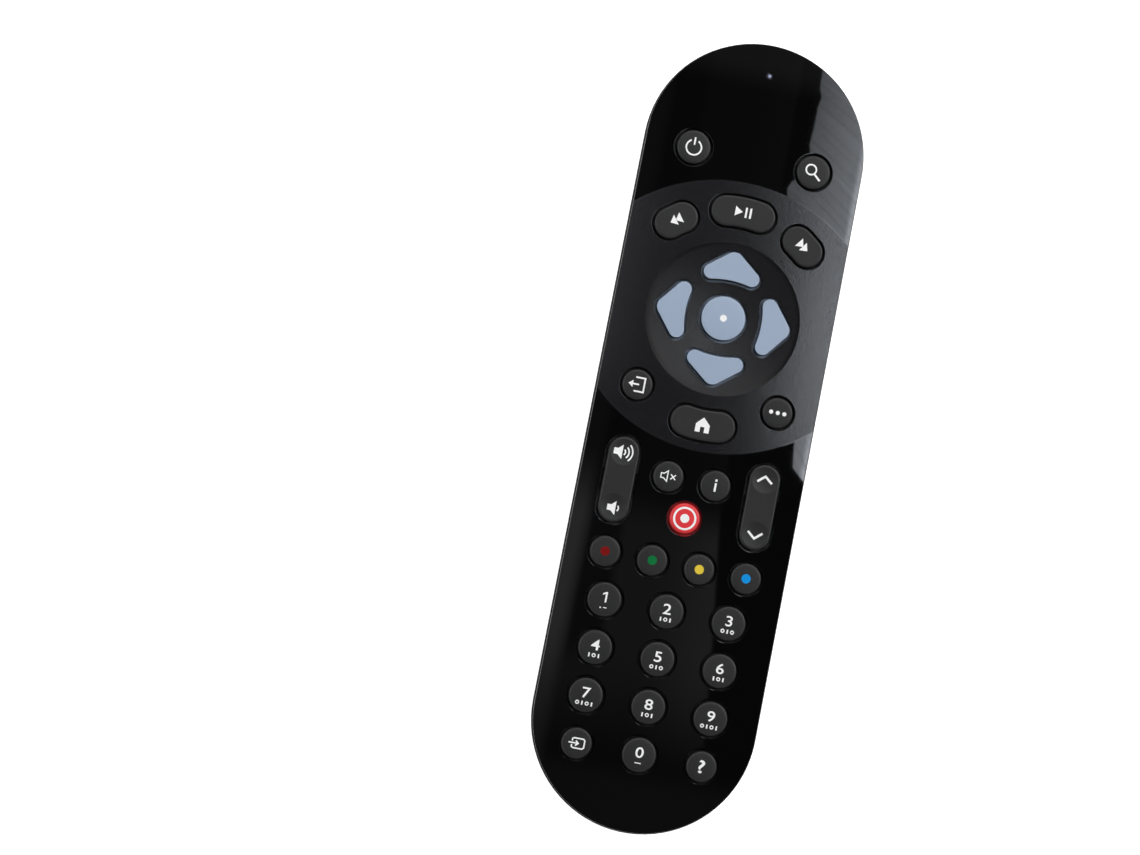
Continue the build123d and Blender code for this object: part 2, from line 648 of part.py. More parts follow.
# Latch clip: a slit ring on the cover's guide ring, whose lips snap over the head of the casing's post
with BuildPart() as latch_clip:
    with BuildSketch(Plane.XY.offset(CLIP_BOTTOM)):
        with Locations((0, BUTTON_Y)):
            Circle(RING_OUTER)
            Circle(CLIP_HOLE_RADIUS, mode=Mode.SUBTRACT)
            Rectangle(4 * CLIP_HOLE_RADIUS, CLIP_SLIT_WIDTH, mode=Mode.SUBTRACT)
            Rectangle(CLIP_SLIT_WIDTH, 4 * CLIP_HOLE_RADIUS, mode=Mode.SUBTRACT)
    extrude(amount=CLIP_TOP - CLIP_BOTTOM)
save(latch_clip.part, "latch_clip")


def coil_spring(name, radius_start, radius_end, turns, length, place):
    """A wire coil along the Z axis of its place, on two arcs for each half turn, and its gap to itself."""
    def point(turn):
        share = turn / turns
        radius = radius_start + (radius_end - radius_start) * share
        angle = 2 * pi * turn
        height = SPRING_WIRE / 2 + (length - SPRING_WIRE) * share
        return Vector(radius * cos(angle), radius * sin(angle), height)

    def heading(turn):
        radius = radius_start + (radius_end - radius_start) * turn / turns
        angle = 2 * pi * turn
        widening = (radius_end - radius_start) / turns
        return Vector(
            widening * cos(angle) - 2 * pi * radius * sin(angle),
            widening * sin(angle) + 2 * pi * radius * cos(angle),
            (length - SPRING_WIRE) / turns,
        ).normalized()

    with BuildPart() as coil:
        with BuildLine() as path:
            for half_turn in range(round(2 * turns)):
                first, last = point(half_turn / 2), point((half_turn + 1) / 2)
                leaving, arriving = heading(half_turn / 2), heading((half_turn + 1) / 2)
                across = last - first
                squared = 2 * (leaving.dot(arriving) - 1)
                single = -2 * across.dot(leaving + arriving)
                reach = (-single - (single**2 - 4 * squared * across.dot(across)) ** 0.5) / (2 * squared)
                knee_first = first + leaving * reach
                knee_last = last - arriving * reach
                joint = (knee_first + knee_last) / 2
                TangentArc(first, joint, tangent=leaving)
                TangentArc(joint, last, tangent=(knee_last - knee_first).normalized())
        with BuildSketch(Plane(origin=point(0), x_dir=(1, 0, 0), z_dir=heading(0))):
            RegularPolygon(SPRING_WIRE / 2, WIRE_SIDES)
        sweep(path=path.wire())
    samples = [point(index / 16) for index in range(round(16 * turns) + 1)]
    gap = min(
        (second - first).length
        for index, first in enumerate(samples)
        for second in samples[index + 12:]
    )
    print(name, "least gap to itself", round(gap - SPRING_WIRE, 2), "mm")
    save(place * coil.part, name)


coil_spring(
    "release_spring",
    RELEASE_SPRING_RADIUS,
    RELEASE_SPRING_RADIUS,
    RELEASE_SPRING_TURNS,
    CLIP_BOTTOM - BUTTON_FLANGE_TOP,
    Location((0, BUTTON_Y, BUTTON_FLANGE_TOP)),
)

# Contact springs: each widens towards the plate that carries it
coil_spring(
    "contact_spring_top",
    CONTACT_SPRING_WIDE,
    CONTACT_SPRING_NARROW,
    CONTACT_SPRING_TURNS,
    CONTACT_SPRING_LENGTH,
    Location((-CELL_X, BAY_TOP_Y - CONTACT_THICKNESS, CELL_Z), (1, 0, 0), 90),
)
coil_spring(
    "contact_spring_bottom",
    CONTACT_SPRING_WIDE,
    CONTACT_SPRING_NARROW,
    CONTACT_SPRING_TURNS,
    CONTACT_SPRING_LENGTH,
    Location((CELL_X, BAY_BOTTOM_Y + CONTACT_THICKNESS, CELL_Z), (1, 0, 0), -90),
)


def contact_plate(name, middle_x, face_y, width):
    """A flat contact against an end wall of the cell bay."""
    with BuildPart() as contact:
        with BuildSketch(Plane.XZ.offset(-face_y)):
            with Locations((middle_x, CELL_Z)):
                Rectangle(width, CONTACT_HEIGHT)
        extrude(amount=CONTACT_THICKNESS)
    save(contact.part, name)


contact_plate("negative_contact", -CELL_X, BAY_TOP_Y, CONTACT_WIDTH)
contact_plate("positive_contact", CELL_X, BAY_TOP_Y, CONTACT_WIDTH)
contact_plate("bridge_contact", 0, BAY_BOTTOM_Y + CONTACT_THICKNESS, 2 * CELL_X + CONTACT_WIDTH)


def make_cell(name, x, nub_y, towards):
    """A cell along Y from the tip of its positive nub."""
    with BuildPart() as cell:
        with BuildSketch(Plane.XY.offset(CELL_Z)):
            with BuildLine():
                Polyline(
                    (x, nub_y),
                    (x + CELL_NUB_RADIUS, nub_y),
                    (x + CELL_NUB_RADIUS, nub_y + towards * CELL_NUB_LENGTH),
                    (x + CELL_RADIUS, nub_y + towards * CELL_NUB_LENGTH),
                    (x + CELL_RADIUS, nub_y + towards * CELL_LENGTH),
                    (x, nub_y + towards * CELL_LENGTH),
                    close=True,
                )
            make_face()
        revolve(axis=Axis((x, 0, CELL_Z), (0, 1, 0)))
    save(cell.part, name)


make_cell("cell_right", CELL_X, BAY_TOP_Y - CONTACT_THICKNESS, -1)
make_cell("cell_left", -CELL_X, BAY_BOTTOM_Y + CONTACT_THICKNESS, 1)

# Circuit board, with a hole for the screw boss
with BuildPart() as circuit_board:
    with BuildSketch(Plane.XY.offset(BOARD_BOTTOM)):
        add(stadium(BOARD_HALF_WIDTH))
        with Locations((0, SCREW_Y)):
            Circle(BOSS_RADIUS + KEY_GAP, mode=Mode.SUBTRACT)
    extrude(amount=BOARD_THICKNESS)
save(circuit_board.part, "circuit_board")

# Rubber keypad sheet on the board, open round each stem, the lamp and the screw boss
with BuildPart() as keypad_sheet:
    with BuildSketch(Plane.XY.offset(BOARD_TOP)):
        add(stadium(SHEET_HALF_WIDTH))
        with Locations((0, SHEET_TOP_Y)):
            Rectangle(LENGTH, LENGTH, align=(Align.CENTER, Align.MIN), mode=Mode.SUBTRACT)
        with Locations((0, LENS_Y)):
            Rectangle(LAMP_WIDTH + 2 * LAMP_GAP, LAMP_LENGTH + 2 * LAMP_GAP, mode=Mode.SUBTRACT)
        with Locations((0, SCREW_Y)):
            Circle(BOSS_RADIUS + KEY_GAP, mode=Mode.SUBTRACT)
        for key_name in ALL_KEYS:
            with Locations(*stem_places(key_name)):
                Rectangle(STEM_SIDE + 2 * STEM_GAP, STEM_SIDE + 2 * STEM_GAP, mode=Mode.SUBTRACT)
    extrude(amount=SHEET_THICKNESS)
save(keypad_sheet.part, "keypad_sheet")

# Infrared window, flush with the top end
with BuildPart() as ir_window:
    with BuildSketch(Plane.XZ.offset(-TOP_CENTRE_Y)):
        with Locations((0, WINDOW_Z)):
            SlotOverall(WINDOW_WIDTH - SLIDE_GAP, WINDOW_HEIGHT - SLIDE_GAP)
    extrude(amount=-HALF_WIDTH)
    add(outer_form, mode=Mode.INTERSECT)
    add(window_inner_form, mode=Mode.SUBTRACT)
save(ir_window.part, "ir_window")

# Infrared emitter: a round lens with a bevelled front, and two leads bent up to the board
with BuildPart() as ir_emitter:
    with BuildSketch(Plane.XZ.offset(-EMITTER_FRONT_Y)):
        with Locations((0, WINDOW_Z)):
            Circle(EMITTER_RADIUS)
    extrude(amount=EMITTER_LENGTH)
    chamfer(ir_emitter.faces().sort_by(Axis.Y)[-1].edges(), length=EMITTER_CHAMFER)
    with BuildSketch(Plane.XY.offset(WINDOW_Z - LEAD_SIDE / 2)):
        with Locations((-LEAD_OFFSET, LEAD_BEND_Y), (LEAD_OFFSET, LEAD_BEND_Y)):
            Rectangle(
                LEAD_SIDE,
                EMITTER_FRONT_Y - EMITTER_LENGTH - LEAD_BEND_Y,
                align=(Align.CENTER, Align.MIN),
            )
    extrude(amount=LEAD_SIDE)
    with BuildSketch(Plane.XY.offset(WINDOW_Z - LEAD_SIDE / 2)):
        with Locations((-LEAD_OFFSET, LEAD_BEND_Y), (LEAD_OFFSET, LEAD_BEND_Y)):
            Rectangle(LEAD_SIDE, LEAD_SIDE, align=(Align.CENTER, Align.MIN))
    extrude(amount=BOARD_BOTTOM - WINDOW_Z + LEAD_SIDE / 2)
save(ir_emitter.part, "ir_emitter")

# Status lamp on the board and the light pipe that carries it through the plate
with BuildPart() as status_lamp:
    with BuildSketch(Plane.XY.offset(BOARD_TOP)):
        with Locations((0, LENS_Y)):
            Rectangle(LAMP_WIDTH, LAMP_LENGTH)
    extrude(amount=LAMP_HEIGHT)
save(status_lamp.part, "status_lamp")

with BuildPart() as status_light_pipe:
    with BuildSketch(Plane.XY.offset(RIM_Z)):
        with Locations((0, LENS_Y)):
            Circle(LENS_RADIUS)
    extrude(amount=PLATE_THICKNESS)
    with BuildSketch(Plane.XY.offset(RIM_Z)):
        with Locations((0, LENS_Y)):
            Circle(LENS_FLANGE_RADIUS)
    extrude(amount=-LENS_FLANGE_THICKNESS)
save(status_light_pipe.part, "status_light_pipe")


def board_part(name, x, y, width, length, height, corner=0.0):
    """A component under the board, with rounded corners where it has a can."""
    with BuildPart() as component:
        with BuildSketch(Plane.XY.offset(BOARD_BOTTOM)):
            with Locations((x, y)):
                rectangle = Rectangle(width, length)
            if corner:
                fillet(rectangle.vertices(), radius=corner)
        extrude(amount=-height)
    save(component.part, name)


board_part("controller_chip", 0, CHIP_Y, CHIP_SIDE, CHIP_SIDE, CHIP_HEIGHT)
board_part("crystal", CRYSTAL_X, CRYSTAL_Y, CRYSTAL_WIDTH, CRYSTAL_LENGTH, CRYSTAL_HEIGHT, CRYSTAL_CORNER)

# Capacitor, lying under the board
with BuildPart() as capacitor:
    with BuildSketch(Plane.XZ.offset(-CAPACITOR_Y)):
        with Locations((CAPACITOR_X, BOARD_BOTTOM - CAPACITOR_RADIUS)):
            Circle(CAPACITOR_RADIUS)
    extrude(amount=-CAPACITOR_LENGTH)
save(capacitor.part, "capacitor")

# Case screw, up through the casing into the boss of the front plate
with BuildPart() as case_screw:
    with BuildSketch(Plane.XY.offset(POCKET_TOP - SCREW_HEAD_HEIGHT)):
        with Locations((0, SCREW_Y)):
            Circle(SCREW_HEAD_RADIUS)
    extrude(amount=SCREW_HEAD_HEIGHT)
    with BuildSketch(Plane.XY.offset(POCKET_TOP)):
        with Locations((0, SCREW_Y)):
            Circle(SCREW_SHANK_RADIUS)
    extrude(amount=SCREW_LENGTH)
save(case_screw.part, "case_screw")
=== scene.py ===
from math import acos, atan2, cos, degrees, hypot, inf, pi, radians, sin

import bmesh
import bpy
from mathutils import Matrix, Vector
from mathutils.geometry import tessellate_polygon


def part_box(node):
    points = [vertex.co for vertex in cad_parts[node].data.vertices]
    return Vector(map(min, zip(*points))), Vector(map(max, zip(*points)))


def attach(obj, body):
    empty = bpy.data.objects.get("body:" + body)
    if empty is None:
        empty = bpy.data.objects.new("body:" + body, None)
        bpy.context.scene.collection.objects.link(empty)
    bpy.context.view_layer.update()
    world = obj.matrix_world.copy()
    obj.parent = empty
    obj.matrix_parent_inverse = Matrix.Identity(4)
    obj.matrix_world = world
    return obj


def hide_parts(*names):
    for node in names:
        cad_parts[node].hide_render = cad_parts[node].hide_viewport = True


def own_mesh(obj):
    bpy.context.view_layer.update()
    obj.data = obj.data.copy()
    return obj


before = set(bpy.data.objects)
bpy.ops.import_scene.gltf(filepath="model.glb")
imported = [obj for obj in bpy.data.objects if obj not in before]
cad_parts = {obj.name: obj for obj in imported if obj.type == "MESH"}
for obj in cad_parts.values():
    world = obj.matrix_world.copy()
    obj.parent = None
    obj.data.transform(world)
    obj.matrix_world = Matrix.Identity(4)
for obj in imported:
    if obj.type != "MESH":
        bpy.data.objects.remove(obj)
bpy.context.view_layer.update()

# Every size below is in millimetres, in the frame of the CAD model
MM = 0.001


def node_box(name):
    """Lowest and highest corner of a CAD node."""
    low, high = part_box(name)
    return low / MM, high / MM


def node_centre(name):
    """Middle of a CAD node, seen from above."""
    low, high = node_box(name)
    return ((low.x + high.x) / 2, (low.y + high.y) / 2)


def add_object(name, data):
    """A new object in the scene."""
    made = bpy.data.objects.new(name, data)
    bpy.context.scene.collection.objects.link(made)
    return made


# Plate: its edge, the shallow roll round each hole and the dish about the ring's middle
RING_X, RING_Y = node_centre("ok_key")
CAD_PLATE_HALF_WIDTH, CAD_PLATE_HALF_LENGTH, PLATE_TOP = node_box("front_plate")[1]
PLATE_REACH = 0.22
PLATE_HALF_WIDTH = CAD_PLATE_HALF_WIDTH + PLATE_REACH
PLATE_HALF_LENGTH = CAD_PLATE_HALF_LENGTH + PLATE_REACH
RIM_Z = node_box("rear_casing")[1].z
KEY_TOP = node_box("ok_key")[1].z
PLATE_EDGE = 0.16
HOLE_ROLL = 0.1
HOLE_ROLL_DEPTH = 0.007
HOLE_ROLL_STEPS = 3
DISH_RADIUS = 15.6
DISH_DEPTH = 0.4
LENS_X, LENS_Y = node_centre("status_light_pipe")
LENS_HOLE = 0.6

# Keys: their caps, and the lips and stems under the plate
KEY_GAP = 0.43
CAP_INSET = 0.1
KEY_EDGE = 0.4
DISH_KEY_EDGE = 0.12
KEY_CROWN = KEY_TOP - 0.03
KEY_DOME = 0.1
DOME_RINGS = (0.3, 0.5, 0.7, 0.88)
KEY_LIP = 0.5
KEY_LIP_HEIGHT = 0.4
KEY_LIP_DROP = 2.5
STEM_SIDE = 3.0
OK_RADIUS = 4.55
FUNCTION_RADIUS = 3.15
DIGIT_RADIUS = 3.5
PILL_RING_RADIUS = 21.9
PILL_HALF_WIDTH = 3.2
ROCKER_LENGTH = 17.4
ROCKER_HALF_WIDTH = 3.2
ROCKER_LIP_LENGTH = 4.0
ROCKER_LIP_DROP = 2.7
ROCKER_STEM_OFFSET = 5.7
ROCKER_DISH_OFFSET = 5.5
ROCKER_DISH_RADIUS = 2.62
ROCKER_DISH_DEPTH = 0.3
ARROW_BASE = 7.65
ARROW_APEX = 13.7
ARROW_APEX_RADIUS = 2.08
ARROW_CORNER_X = 4.19
ARROW_CORNER_Y = 8.85
ARROW_CORNER_RADIUS = 1.65
ARROW_STEM_RADIUS = 10.0
PRINT_LIFT = 0.012

# How finely the meshes are made
LONGEST_DISH_EDGE = 0.8
LONGEST_HOLLOW_EDGE = 0.5
LONGEST_PRINT_EDGE = 0.5
MERGE_DISTANCE = 1e-4
LEVEL_NORMAL = 0.99999
PLATE_SIDE_STEPS = 40
PLATE_END_STEPS = 96
DISH_RIM_STEPS = 144
LENS_HOLE_STEPS = 32
DISC_STEPS = 40
HOOP_STEPS = 56
SLOT_SIDE_STEPS = 12
SLOT_END_STEPS = 28
ARROW_CORNER_STEPS = 16
ARROW_SIDE_STEPS = 6
ARROW_BASE_STEPS = 12

ROUND_KEYS = {
    "power_key": DIGIT_RADIUS,
    "search_key": DIGIT_RADIUS,
    "ok_key": OK_RADIUS,
    "back_key": FUNCTION_RADIUS,
    "more_key": FUNCTION_RADIUS,
    "mute_key": FUNCTION_RADIUS,
    "info_key": FUNCTION_RADIUS,
    "record_key": FUNCTION_RADIUS,
    "red_key": FUNCTION_RADIUS,
    "green_key": FUNCTION_RADIUS,
    "yellow_key": FUNCTION_RADIUS,
    "blue_key": FUNCTION_RADIUS,
    "input_key": FUNCTION_RADIUS,
    "help_key": FUNCTION_RADIUS,
}
for digit in range(10):
    ROUND_KEYS[f"digit_{digit}_key"] = DIGIT_RADIUS
RING_KEYS = {
    "play_pause_key": (90.0, 9.1),
    "home_key": (270.0, 9.1),
    "rewind_key": (126.6, 3.75),
    "fast_forward_key": (53.4, 3.75),
}
ARROW_KEYS = {"up_key": 0, "left_key": 90, "down_key": 180, "right_key": 270}
ROCKER_KEYS = ("volume_rocker", "channel_rocker")
DISH_KEYS = ("ok_key", *ARROW_KEYS)
ALL_KEYS = (*ROUND_KEYS, *RING_KEYS, *ARROW_KEYS, *ROCKER_KEYS)


# Outlines, as points in order round a form


def arc(x, y, radius, start, turn, steps):
    """Points of an arc, its ends included, with angles in degrees."""
    angles = [radians(start + turn * step / steps) for step in range(steps + 1)]
    return [(x + radius * cos(angle), y + radius * sin(angle)) for angle in angles]


def circle(x, y, radius, steps=72):
    return arc(x, y, radius, 0, 360, steps)[:-1]


def run(first, last, steps):
    """Points along a straight run, without its last."""
    return [
        (first[0] + (last[0] - first[0]) * step / steps, first[1] + (last[1] - first[1]) * step / steps)
        for step in range(steps)
    ]


def rectangle(x, y, width, height):
    """Corners of an upright rectangle about its middle."""
    left, right = x - width / 2, x + width / 2
    bottom, top = y - height / 2, y + height / 2
    return [(left, bottom), (right, bottom), (right, top), (left, top)]


def stadium(x, y, half_width, length, side_steps=24, end_steps=36):
    """A straight-sided outline along Y with full round ends."""
    reach = length / 2 - half_width
    return [
        *run((x + half_width, y - reach), (x + half_width, y + reach), side_steps),
        *arc(x, y + reach, half_width, 0, 180, end_steps)[:-1],
        *run((x - half_width, y + reach), (x - half_width, y - reach), side_steps),
        *arc(x, y - reach, half_width, 180, 180, end_steps)[:-1],
    ]


def on_ring(radius, angle):
    """The point at a radius and an angle about the ring's middle."""
    return (RING_X + radius * cos(radians(angle)), RING_Y + radius * sin(radians(angle)))


def pill(middle, half, half_width):
    """A slot along an arc about the ring's middle."""
    first, last = middle - half, middle + half
    near = on_ring(PILL_RING_RADIUS, first)
    far = on_ring(PILL_RING_RADIUS, last)
    outer, inner = PILL_RING_RADIUS + half_width, PILL_RING_RADIUS - half_width
    return [
        *arc(RING_X, RING_Y, outer, first, 2 * half, SLOT_SIDE_STEPS)[:-1],
        *arc(*far, half_width, last, 180, SLOT_END_STEPS)[:-1],
        *arc(RING_X, RING_Y, inner, last, -2 * half, SLOT_SIDE_STEPS)[:-1],
        *arc(*near, half_width, first + 180, 180, SLOT_END_STEPS)[:-1],
    ]


def turned(points, angle):
    """The points turned about the ring's middle."""
    c, s = cos(radians(angle)), sin(radians(angle))
    return [
        (RING_X + c * (x - RING_X) - s * (y - RING_Y), RING_Y + s * (x - RING_X) + c * (y - RING_Y))
        for x, y in points
    ]


def arrow(grow):
    """The upper arrow key: a hollow base, two round corners and a rounder tip, all tangent."""
    drop = ARROW_CORNER_Y - ARROW_BASE
    squares = ARROW_CORNER_X**2 + drop**2 - ARROW_CORNER_RADIUS**2
    base_radius = squares / (2 * (ARROW_CORNER_RADIUS - drop))
    base_y = ARROW_BASE - base_radius
    base_angle = degrees(atan2(ARROW_CORNER_Y - base_y, ARROW_CORNER_X))
    apex_y = ARROW_APEX - ARROW_APEX_RADIUS
    rise = apex_y - ARROW_CORNER_Y
    lean = degrees(acos((ARROW_CORNER_RADIUS - ARROW_APEX_RADIUS) / hypot(ARROW_CORNER_X, rise)))
    side_angle = degrees(atan2(rise, -ARROW_CORNER_X)) - lean
    corner_turn = side_angle + 180 - base_angle
    corner_radius = ARROW_CORNER_RADIUS + grow
    right = (RING_X + ARROW_CORNER_X, RING_Y + ARROW_CORNER_Y)
    left = (RING_X - ARROW_CORNER_X, RING_Y + ARROW_CORNER_Y)
    apex_radius = ARROW_APEX_RADIUS + grow
    apex_turn = 180 - 2 * side_angle
    base_turn = 2 * base_angle - 180
    corner_right = arc(*right, corner_radius, base_angle - 180, corner_turn, ARROW_CORNER_STEPS)
    apex = arc(RING_X, RING_Y + apex_y, apex_radius, side_angle, apex_turn, ARROW_CORNER_STEPS)
    corner_left = arc(*left, corner_radius, 180 - side_angle, corner_turn, ARROW_CORNER_STEPS)
    base_start = 180 - base_angle
    base = arc(RING_X, RING_Y + base_y, base_radius - grow, base_start, base_turn, ARROW_BASE_STEPS)
    return [
        *corner_right[:-1],
        *run(corner_right[-1], apex[0], ARROW_SIDE_STEPS),
        *apex[:-1],
        *run(apex[-1], corner_left[0], ARROW_SIDE_STEPS),
        *corner_left[:-1],
        *base[:-1],
    ]


def key_outline(name, grow=0.0):
    """Outline of one key, grown all round."""
    if name in ROUND_KEYS:
        return circle(*node_centre(name), ROUND_KEYS[name] + grow)
    if name in RING_KEYS:
        return pill(*RING_KEYS[name], PILL_HALF_WIDTH + grow)
    if name in ARROW_KEYS:
        return turned(arrow(grow), ARROW_KEYS[name])
    return stadium(*node_centre(name), ROCKER_HALF_WIDTH + grow, ROCKER_LENGTH + 2 * grow)


# Shapes, as lists of points and faces that become meshes


class Shape:
    """Points and faces, gathered before they are written into a mesh."""

    def __init__(self):
        self.points = []
        self.faces = []

    def ring(self, outline, height):
        """Adds the outline's points, at one height or at each one's own, and returns their places."""
        first = len(self.points)
        for x, y in outline:
            self.points.append((x, y, height(x, y) if callable(height) else height))
        return list(range(first, len(self.points)))

    def skin(self, rings):
        """Faces between closed rings of the same number of points."""
        for lower, upper in zip(rings, rings[1:]):
            for here in range(len(lower)):
                after = (here + 1) % len(lower)
                self.faces.append((lower[here], lower[after], upper[after], upper[here]))

    def loft(self, levels):
        """A skin through (outline, height) pairs."""
        rings = [self.ring(outline, height) for outline, height in levels]
        self.skin(rings)
        return rings

    def fill(self, loops, height, longest=inf):
        """Triangles inside the first loop and outside the others, with no edge above the longest."""
        outlines = [[Vector((x, y, 0)) for x, y in loop] for loop in loops]
        flat = bmesh.new()
        corners = [flat.verts.new(point) for outline in outlines for point in outline]
        for face in tessellate_polygon(outlines):
            flat.faces.new([corners[corner] for corner in face])
        while long_edges := [edge for edge in flat.edges if edge.calc_length() > longest]:
            bmesh.ops.subdivide_edges(flat, edges=long_edges, cuts=1)
            bmesh.ops.triangulate(flat, faces=flat.faces)
            bmesh.ops.beautify_fill(flat, faces=flat.faces, edges=flat.edges)
        flat.verts.index_update()
        places = self.ring([point.co.xy for point in flat.verts], height)
        self.faces += [tuple(places[point.index] for point in face.verts) for face in flat.faces]
        flat.free()

    def prism(self, outline, low, high):
        """A straight solid between two heights."""
        rings = self.loft([(outline, low), (outline, high)])
        self.faces.append(tuple(reversed(rings[0])))
        self.faces.append(tuple(rings[1]))


def make_piece(name, shape, material, body, stands_for, sharp=35):
    """A mesh from a shape, smooth but for its sharp edges and the rims of its flat faces."""
    mesh = bpy.data.meshes.new(name)
    mesh.from_pydata([tuple(value * MM for value in point) for point in shape.points], [], shape.faces)
    work = bmesh.new()
    work.from_mesh(mesh)
    bmesh.ops.remove_doubles(work, verts=work.verts, dist=MERGE_DISTANCE * MM)
    bmesh.ops.recalc_face_normals(work, faces=work.faces)
    for face in work.faces:
        face.smooth = True
    for edge in work.edges:
        level = [abs(face.normal.z) > LEVEL_NORMAL for face in edge.link_faces]
        blunt = edge.calc_face_angle(0) < radians(sharp)
        edge.smooth = blunt and len(level) == 2 and level[0] == level[1]
    work.to_mesh(mesh)
    work.free()
    mesh.materials.append(material)
    piece = add_object(name, mesh)
    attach(piece, body)
    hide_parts(*stands_for)
    return piece


# Materials. A noise moves mostly between the first two values
NOISE_LOW = 0.3
NOISE_HIGH = 0.7
UNEVEN_ROUGHNESS = 0.07


class Tree:
    """Short calls that add nodes to one shader tree and join them."""

    def __init__(self, tree):
        self.tree = tree

    def add(self, kind, **settings):
        node = self.tree.nodes.new(kind)
        for name, value in settings.items():
            setattr(node, name, value)
        return node

    def join(self, value, socket):
        """Links a socket, or sets a plain value."""
        if isinstance(value, bpy.types.NodeSocket):
            self.tree.links.new(value, socket)
        else:
            socket.default_value = value

    def math(self, operation, *values):
        node = self.add("ShaderNodeMath", operation=operation)
        for value, socket in zip(values, node.inputs):
            self.join(value, socket)
        return node.outputs[0]

    def total(self, whole, *others):
        for value in others:
            whole = self.math("ADD", whole, value)
        return whole

    def product(self, whole, *others):
        for value in others:
            whole = self.math("MULTIPLY", whole, value)
        return whole

    def squares(self, first, second):
        """The sum of two values squared."""
        return self.total(self.product(first, first), self.product(second, second))

    def split(self, vector):
        """The X, Y and Z of a vector."""
        node = self.add("ShaderNodeSeparateXYZ")
        self.join(vector, node.inputs[0])
        return node.outputs

    def span(self, value, low, high, to_low, to_high, smooth=False):
        """Maps a value from one range to another, held at its ends."""
        node = self.add("ShaderNodeMapRange", interpolation_type="SMOOTHSTEP" if smooth else "LINEAR")
        for item, socket in zip((value, low, high, to_low, to_high), node.inputs):
            self.join(item, socket)
        return node.outputs[0]

    def shader(self, kind, **values):
        """A shader with its sockets set or linked by name."""
        node = self.add(kind)
        for name, value in values.items():
            self.join(value, node.inputs[name])
        return node.outputs[0]

    def shader_pair(self, kind, first, second, share=None):
        """Two shaders added or mixed into one."""
        node = self.add(kind)
        for item, socket in zip((share, first, second) if share else (first, second), node.inputs):
            self.join(item, socket)
        return node.outputs[0]

    def finish(self, kind, shader):
        """Links a shader to the tree's output."""
        self.join(shader, self.add(kind).inputs["Surface"])


class Nodes(Tree):
    """The tree of one material, with the place of each point in metres."""

    def __init__(self, name):
        self.material = bpy.data.materials.new(name)
        self.material.use_nodes = True
        super().__init__(self.material.node_tree)
        self.surface = self.tree.nodes["Principled BSDF"].inputs
        self.own_frame = self.add("ShaderNodeTexCoord").outputs
        self.place = self.own_frame["Object"]

    def noise(self, scale, detail=3.0):
        node = self.add("ShaderNodeTexNoise")
        self.join(self.place, node.inputs["Vector"])
        node.inputs["Scale"].default_value = scale
        node.inputs["Detail"].default_value = detail
        return node.outputs["Fac"]

    def varied(self, noise, low, high):
        """A value that a noise moves between two others."""
        return self.span(noise, NOISE_LOW, NOISE_HIGH, low, high)

    def colour_mix(self, share, first, second):
        """From the first colour to the second."""
        node = self.add("ShaderNodeMix", data_type="RGBA")
        for value, place in ((share, 0), (first, 6), (second, 7)):
            self.join(value, node.inputs[place])
        return node.outputs[2]

    def blend(self, share, first, second):
        """From the first plain value to the second."""
        node = self.add("ShaderNodeMix", data_type="FLOAT")
        for value, place in ((share, 0), (first, 2), (second, 3)):
            self.join(value, node.inputs[place])
        return node.outputs[0]

    def bump(self, height, depth):
        """Raises the surface by the height, a share of a depth in millimetres."""
        node = self.add("ShaderNodeBump")
        node.inputs["Strength"].default_value = 1.0
        node.inputs["Distance"].default_value = depth * MM
        self.join(height, node.inputs["Height"])
        self.join(node.outputs["Normal"], self.surface["Normal"])

    def axes(self):
        """The X, Y and Z of the place, in millimetres."""
        return [self.math("DIVIDE", value, MM) for value in self.split(self.place)]


def colour(red, green, blue):
    """A colour for a socket, from linear parts."""
    return (red, green, blue, 1.0)


def shade(base, factor):
    return colour(*(min(1.0, part * factor) for part in base[:3]))


def moulded(name, base, roughness, grain=2600, depth=0.006, spread=0.12, specular=0.5, wall=1.0):
    """Moulded plastic: fine grain, slightly uneven colour and gloss, and painted shade on upright walls
    when wall is below 1.
    """
    nodes = Nodes(name)
    uneven = nodes.noise(scale=60)
    skin = nodes.colour_mix(uneven, shade(base, 1 - spread), shade(base, 1 + spread))
    # Painted shade: where the surface stands upright, the colour darkens to the wall share of the base,
    # standing in for the little light that reaches walls in the gaps
    if wall < 1:
        upward = nodes.split(nodes.own_frame["Normal"])["Z"]
        skin = nodes.colour_mix(nodes.span(upward, 0.3, 0.9, 0.0, 1.0), shade(base, wall), skin)
    nodes.join(skin, nodes.surface["Base Color"])
    swing = roughness * UNEVEN_ROUGHNESS
    nodes.join(nodes.varied(uneven, roughness - swing, roughness + swing), nodes.surface["Roughness"])
    nodes.surface["Specular IOR Level"].default_value = specular
    nodes.bump(nodes.noise(grain, detail=2.0), depth)
    return nodes.material


def metal(name, base, roughness):
    """Bare metal with a fine unevenness."""
    nodes = Nodes(name)
    uneven = nodes.noise(scale=900, detail=4.0)
    skin = nodes.colour_mix(uneven, shade(base, 0.9), shade(base, 1.08))
    nodes.join(skin, nodes.surface["Base Color"])
    nodes.join(nodes.varied(uneven, roughness * 0.8, roughness * 1.25), nodes.surface["Roughness"])
    nodes.surface["Metallic"].default_value = 1.0
    nodes.bump(uneven, 0.002)
    return nodes.material


# The face: gloss black, with a matt zone that is an upright oval a little wider than it is high
ZONE_Y = 23.9
ZONE_HALF_WIDTH = 30.5
ZONE_HALF_HEIGHT = 27.6
ZONE_EDGE = 0.006
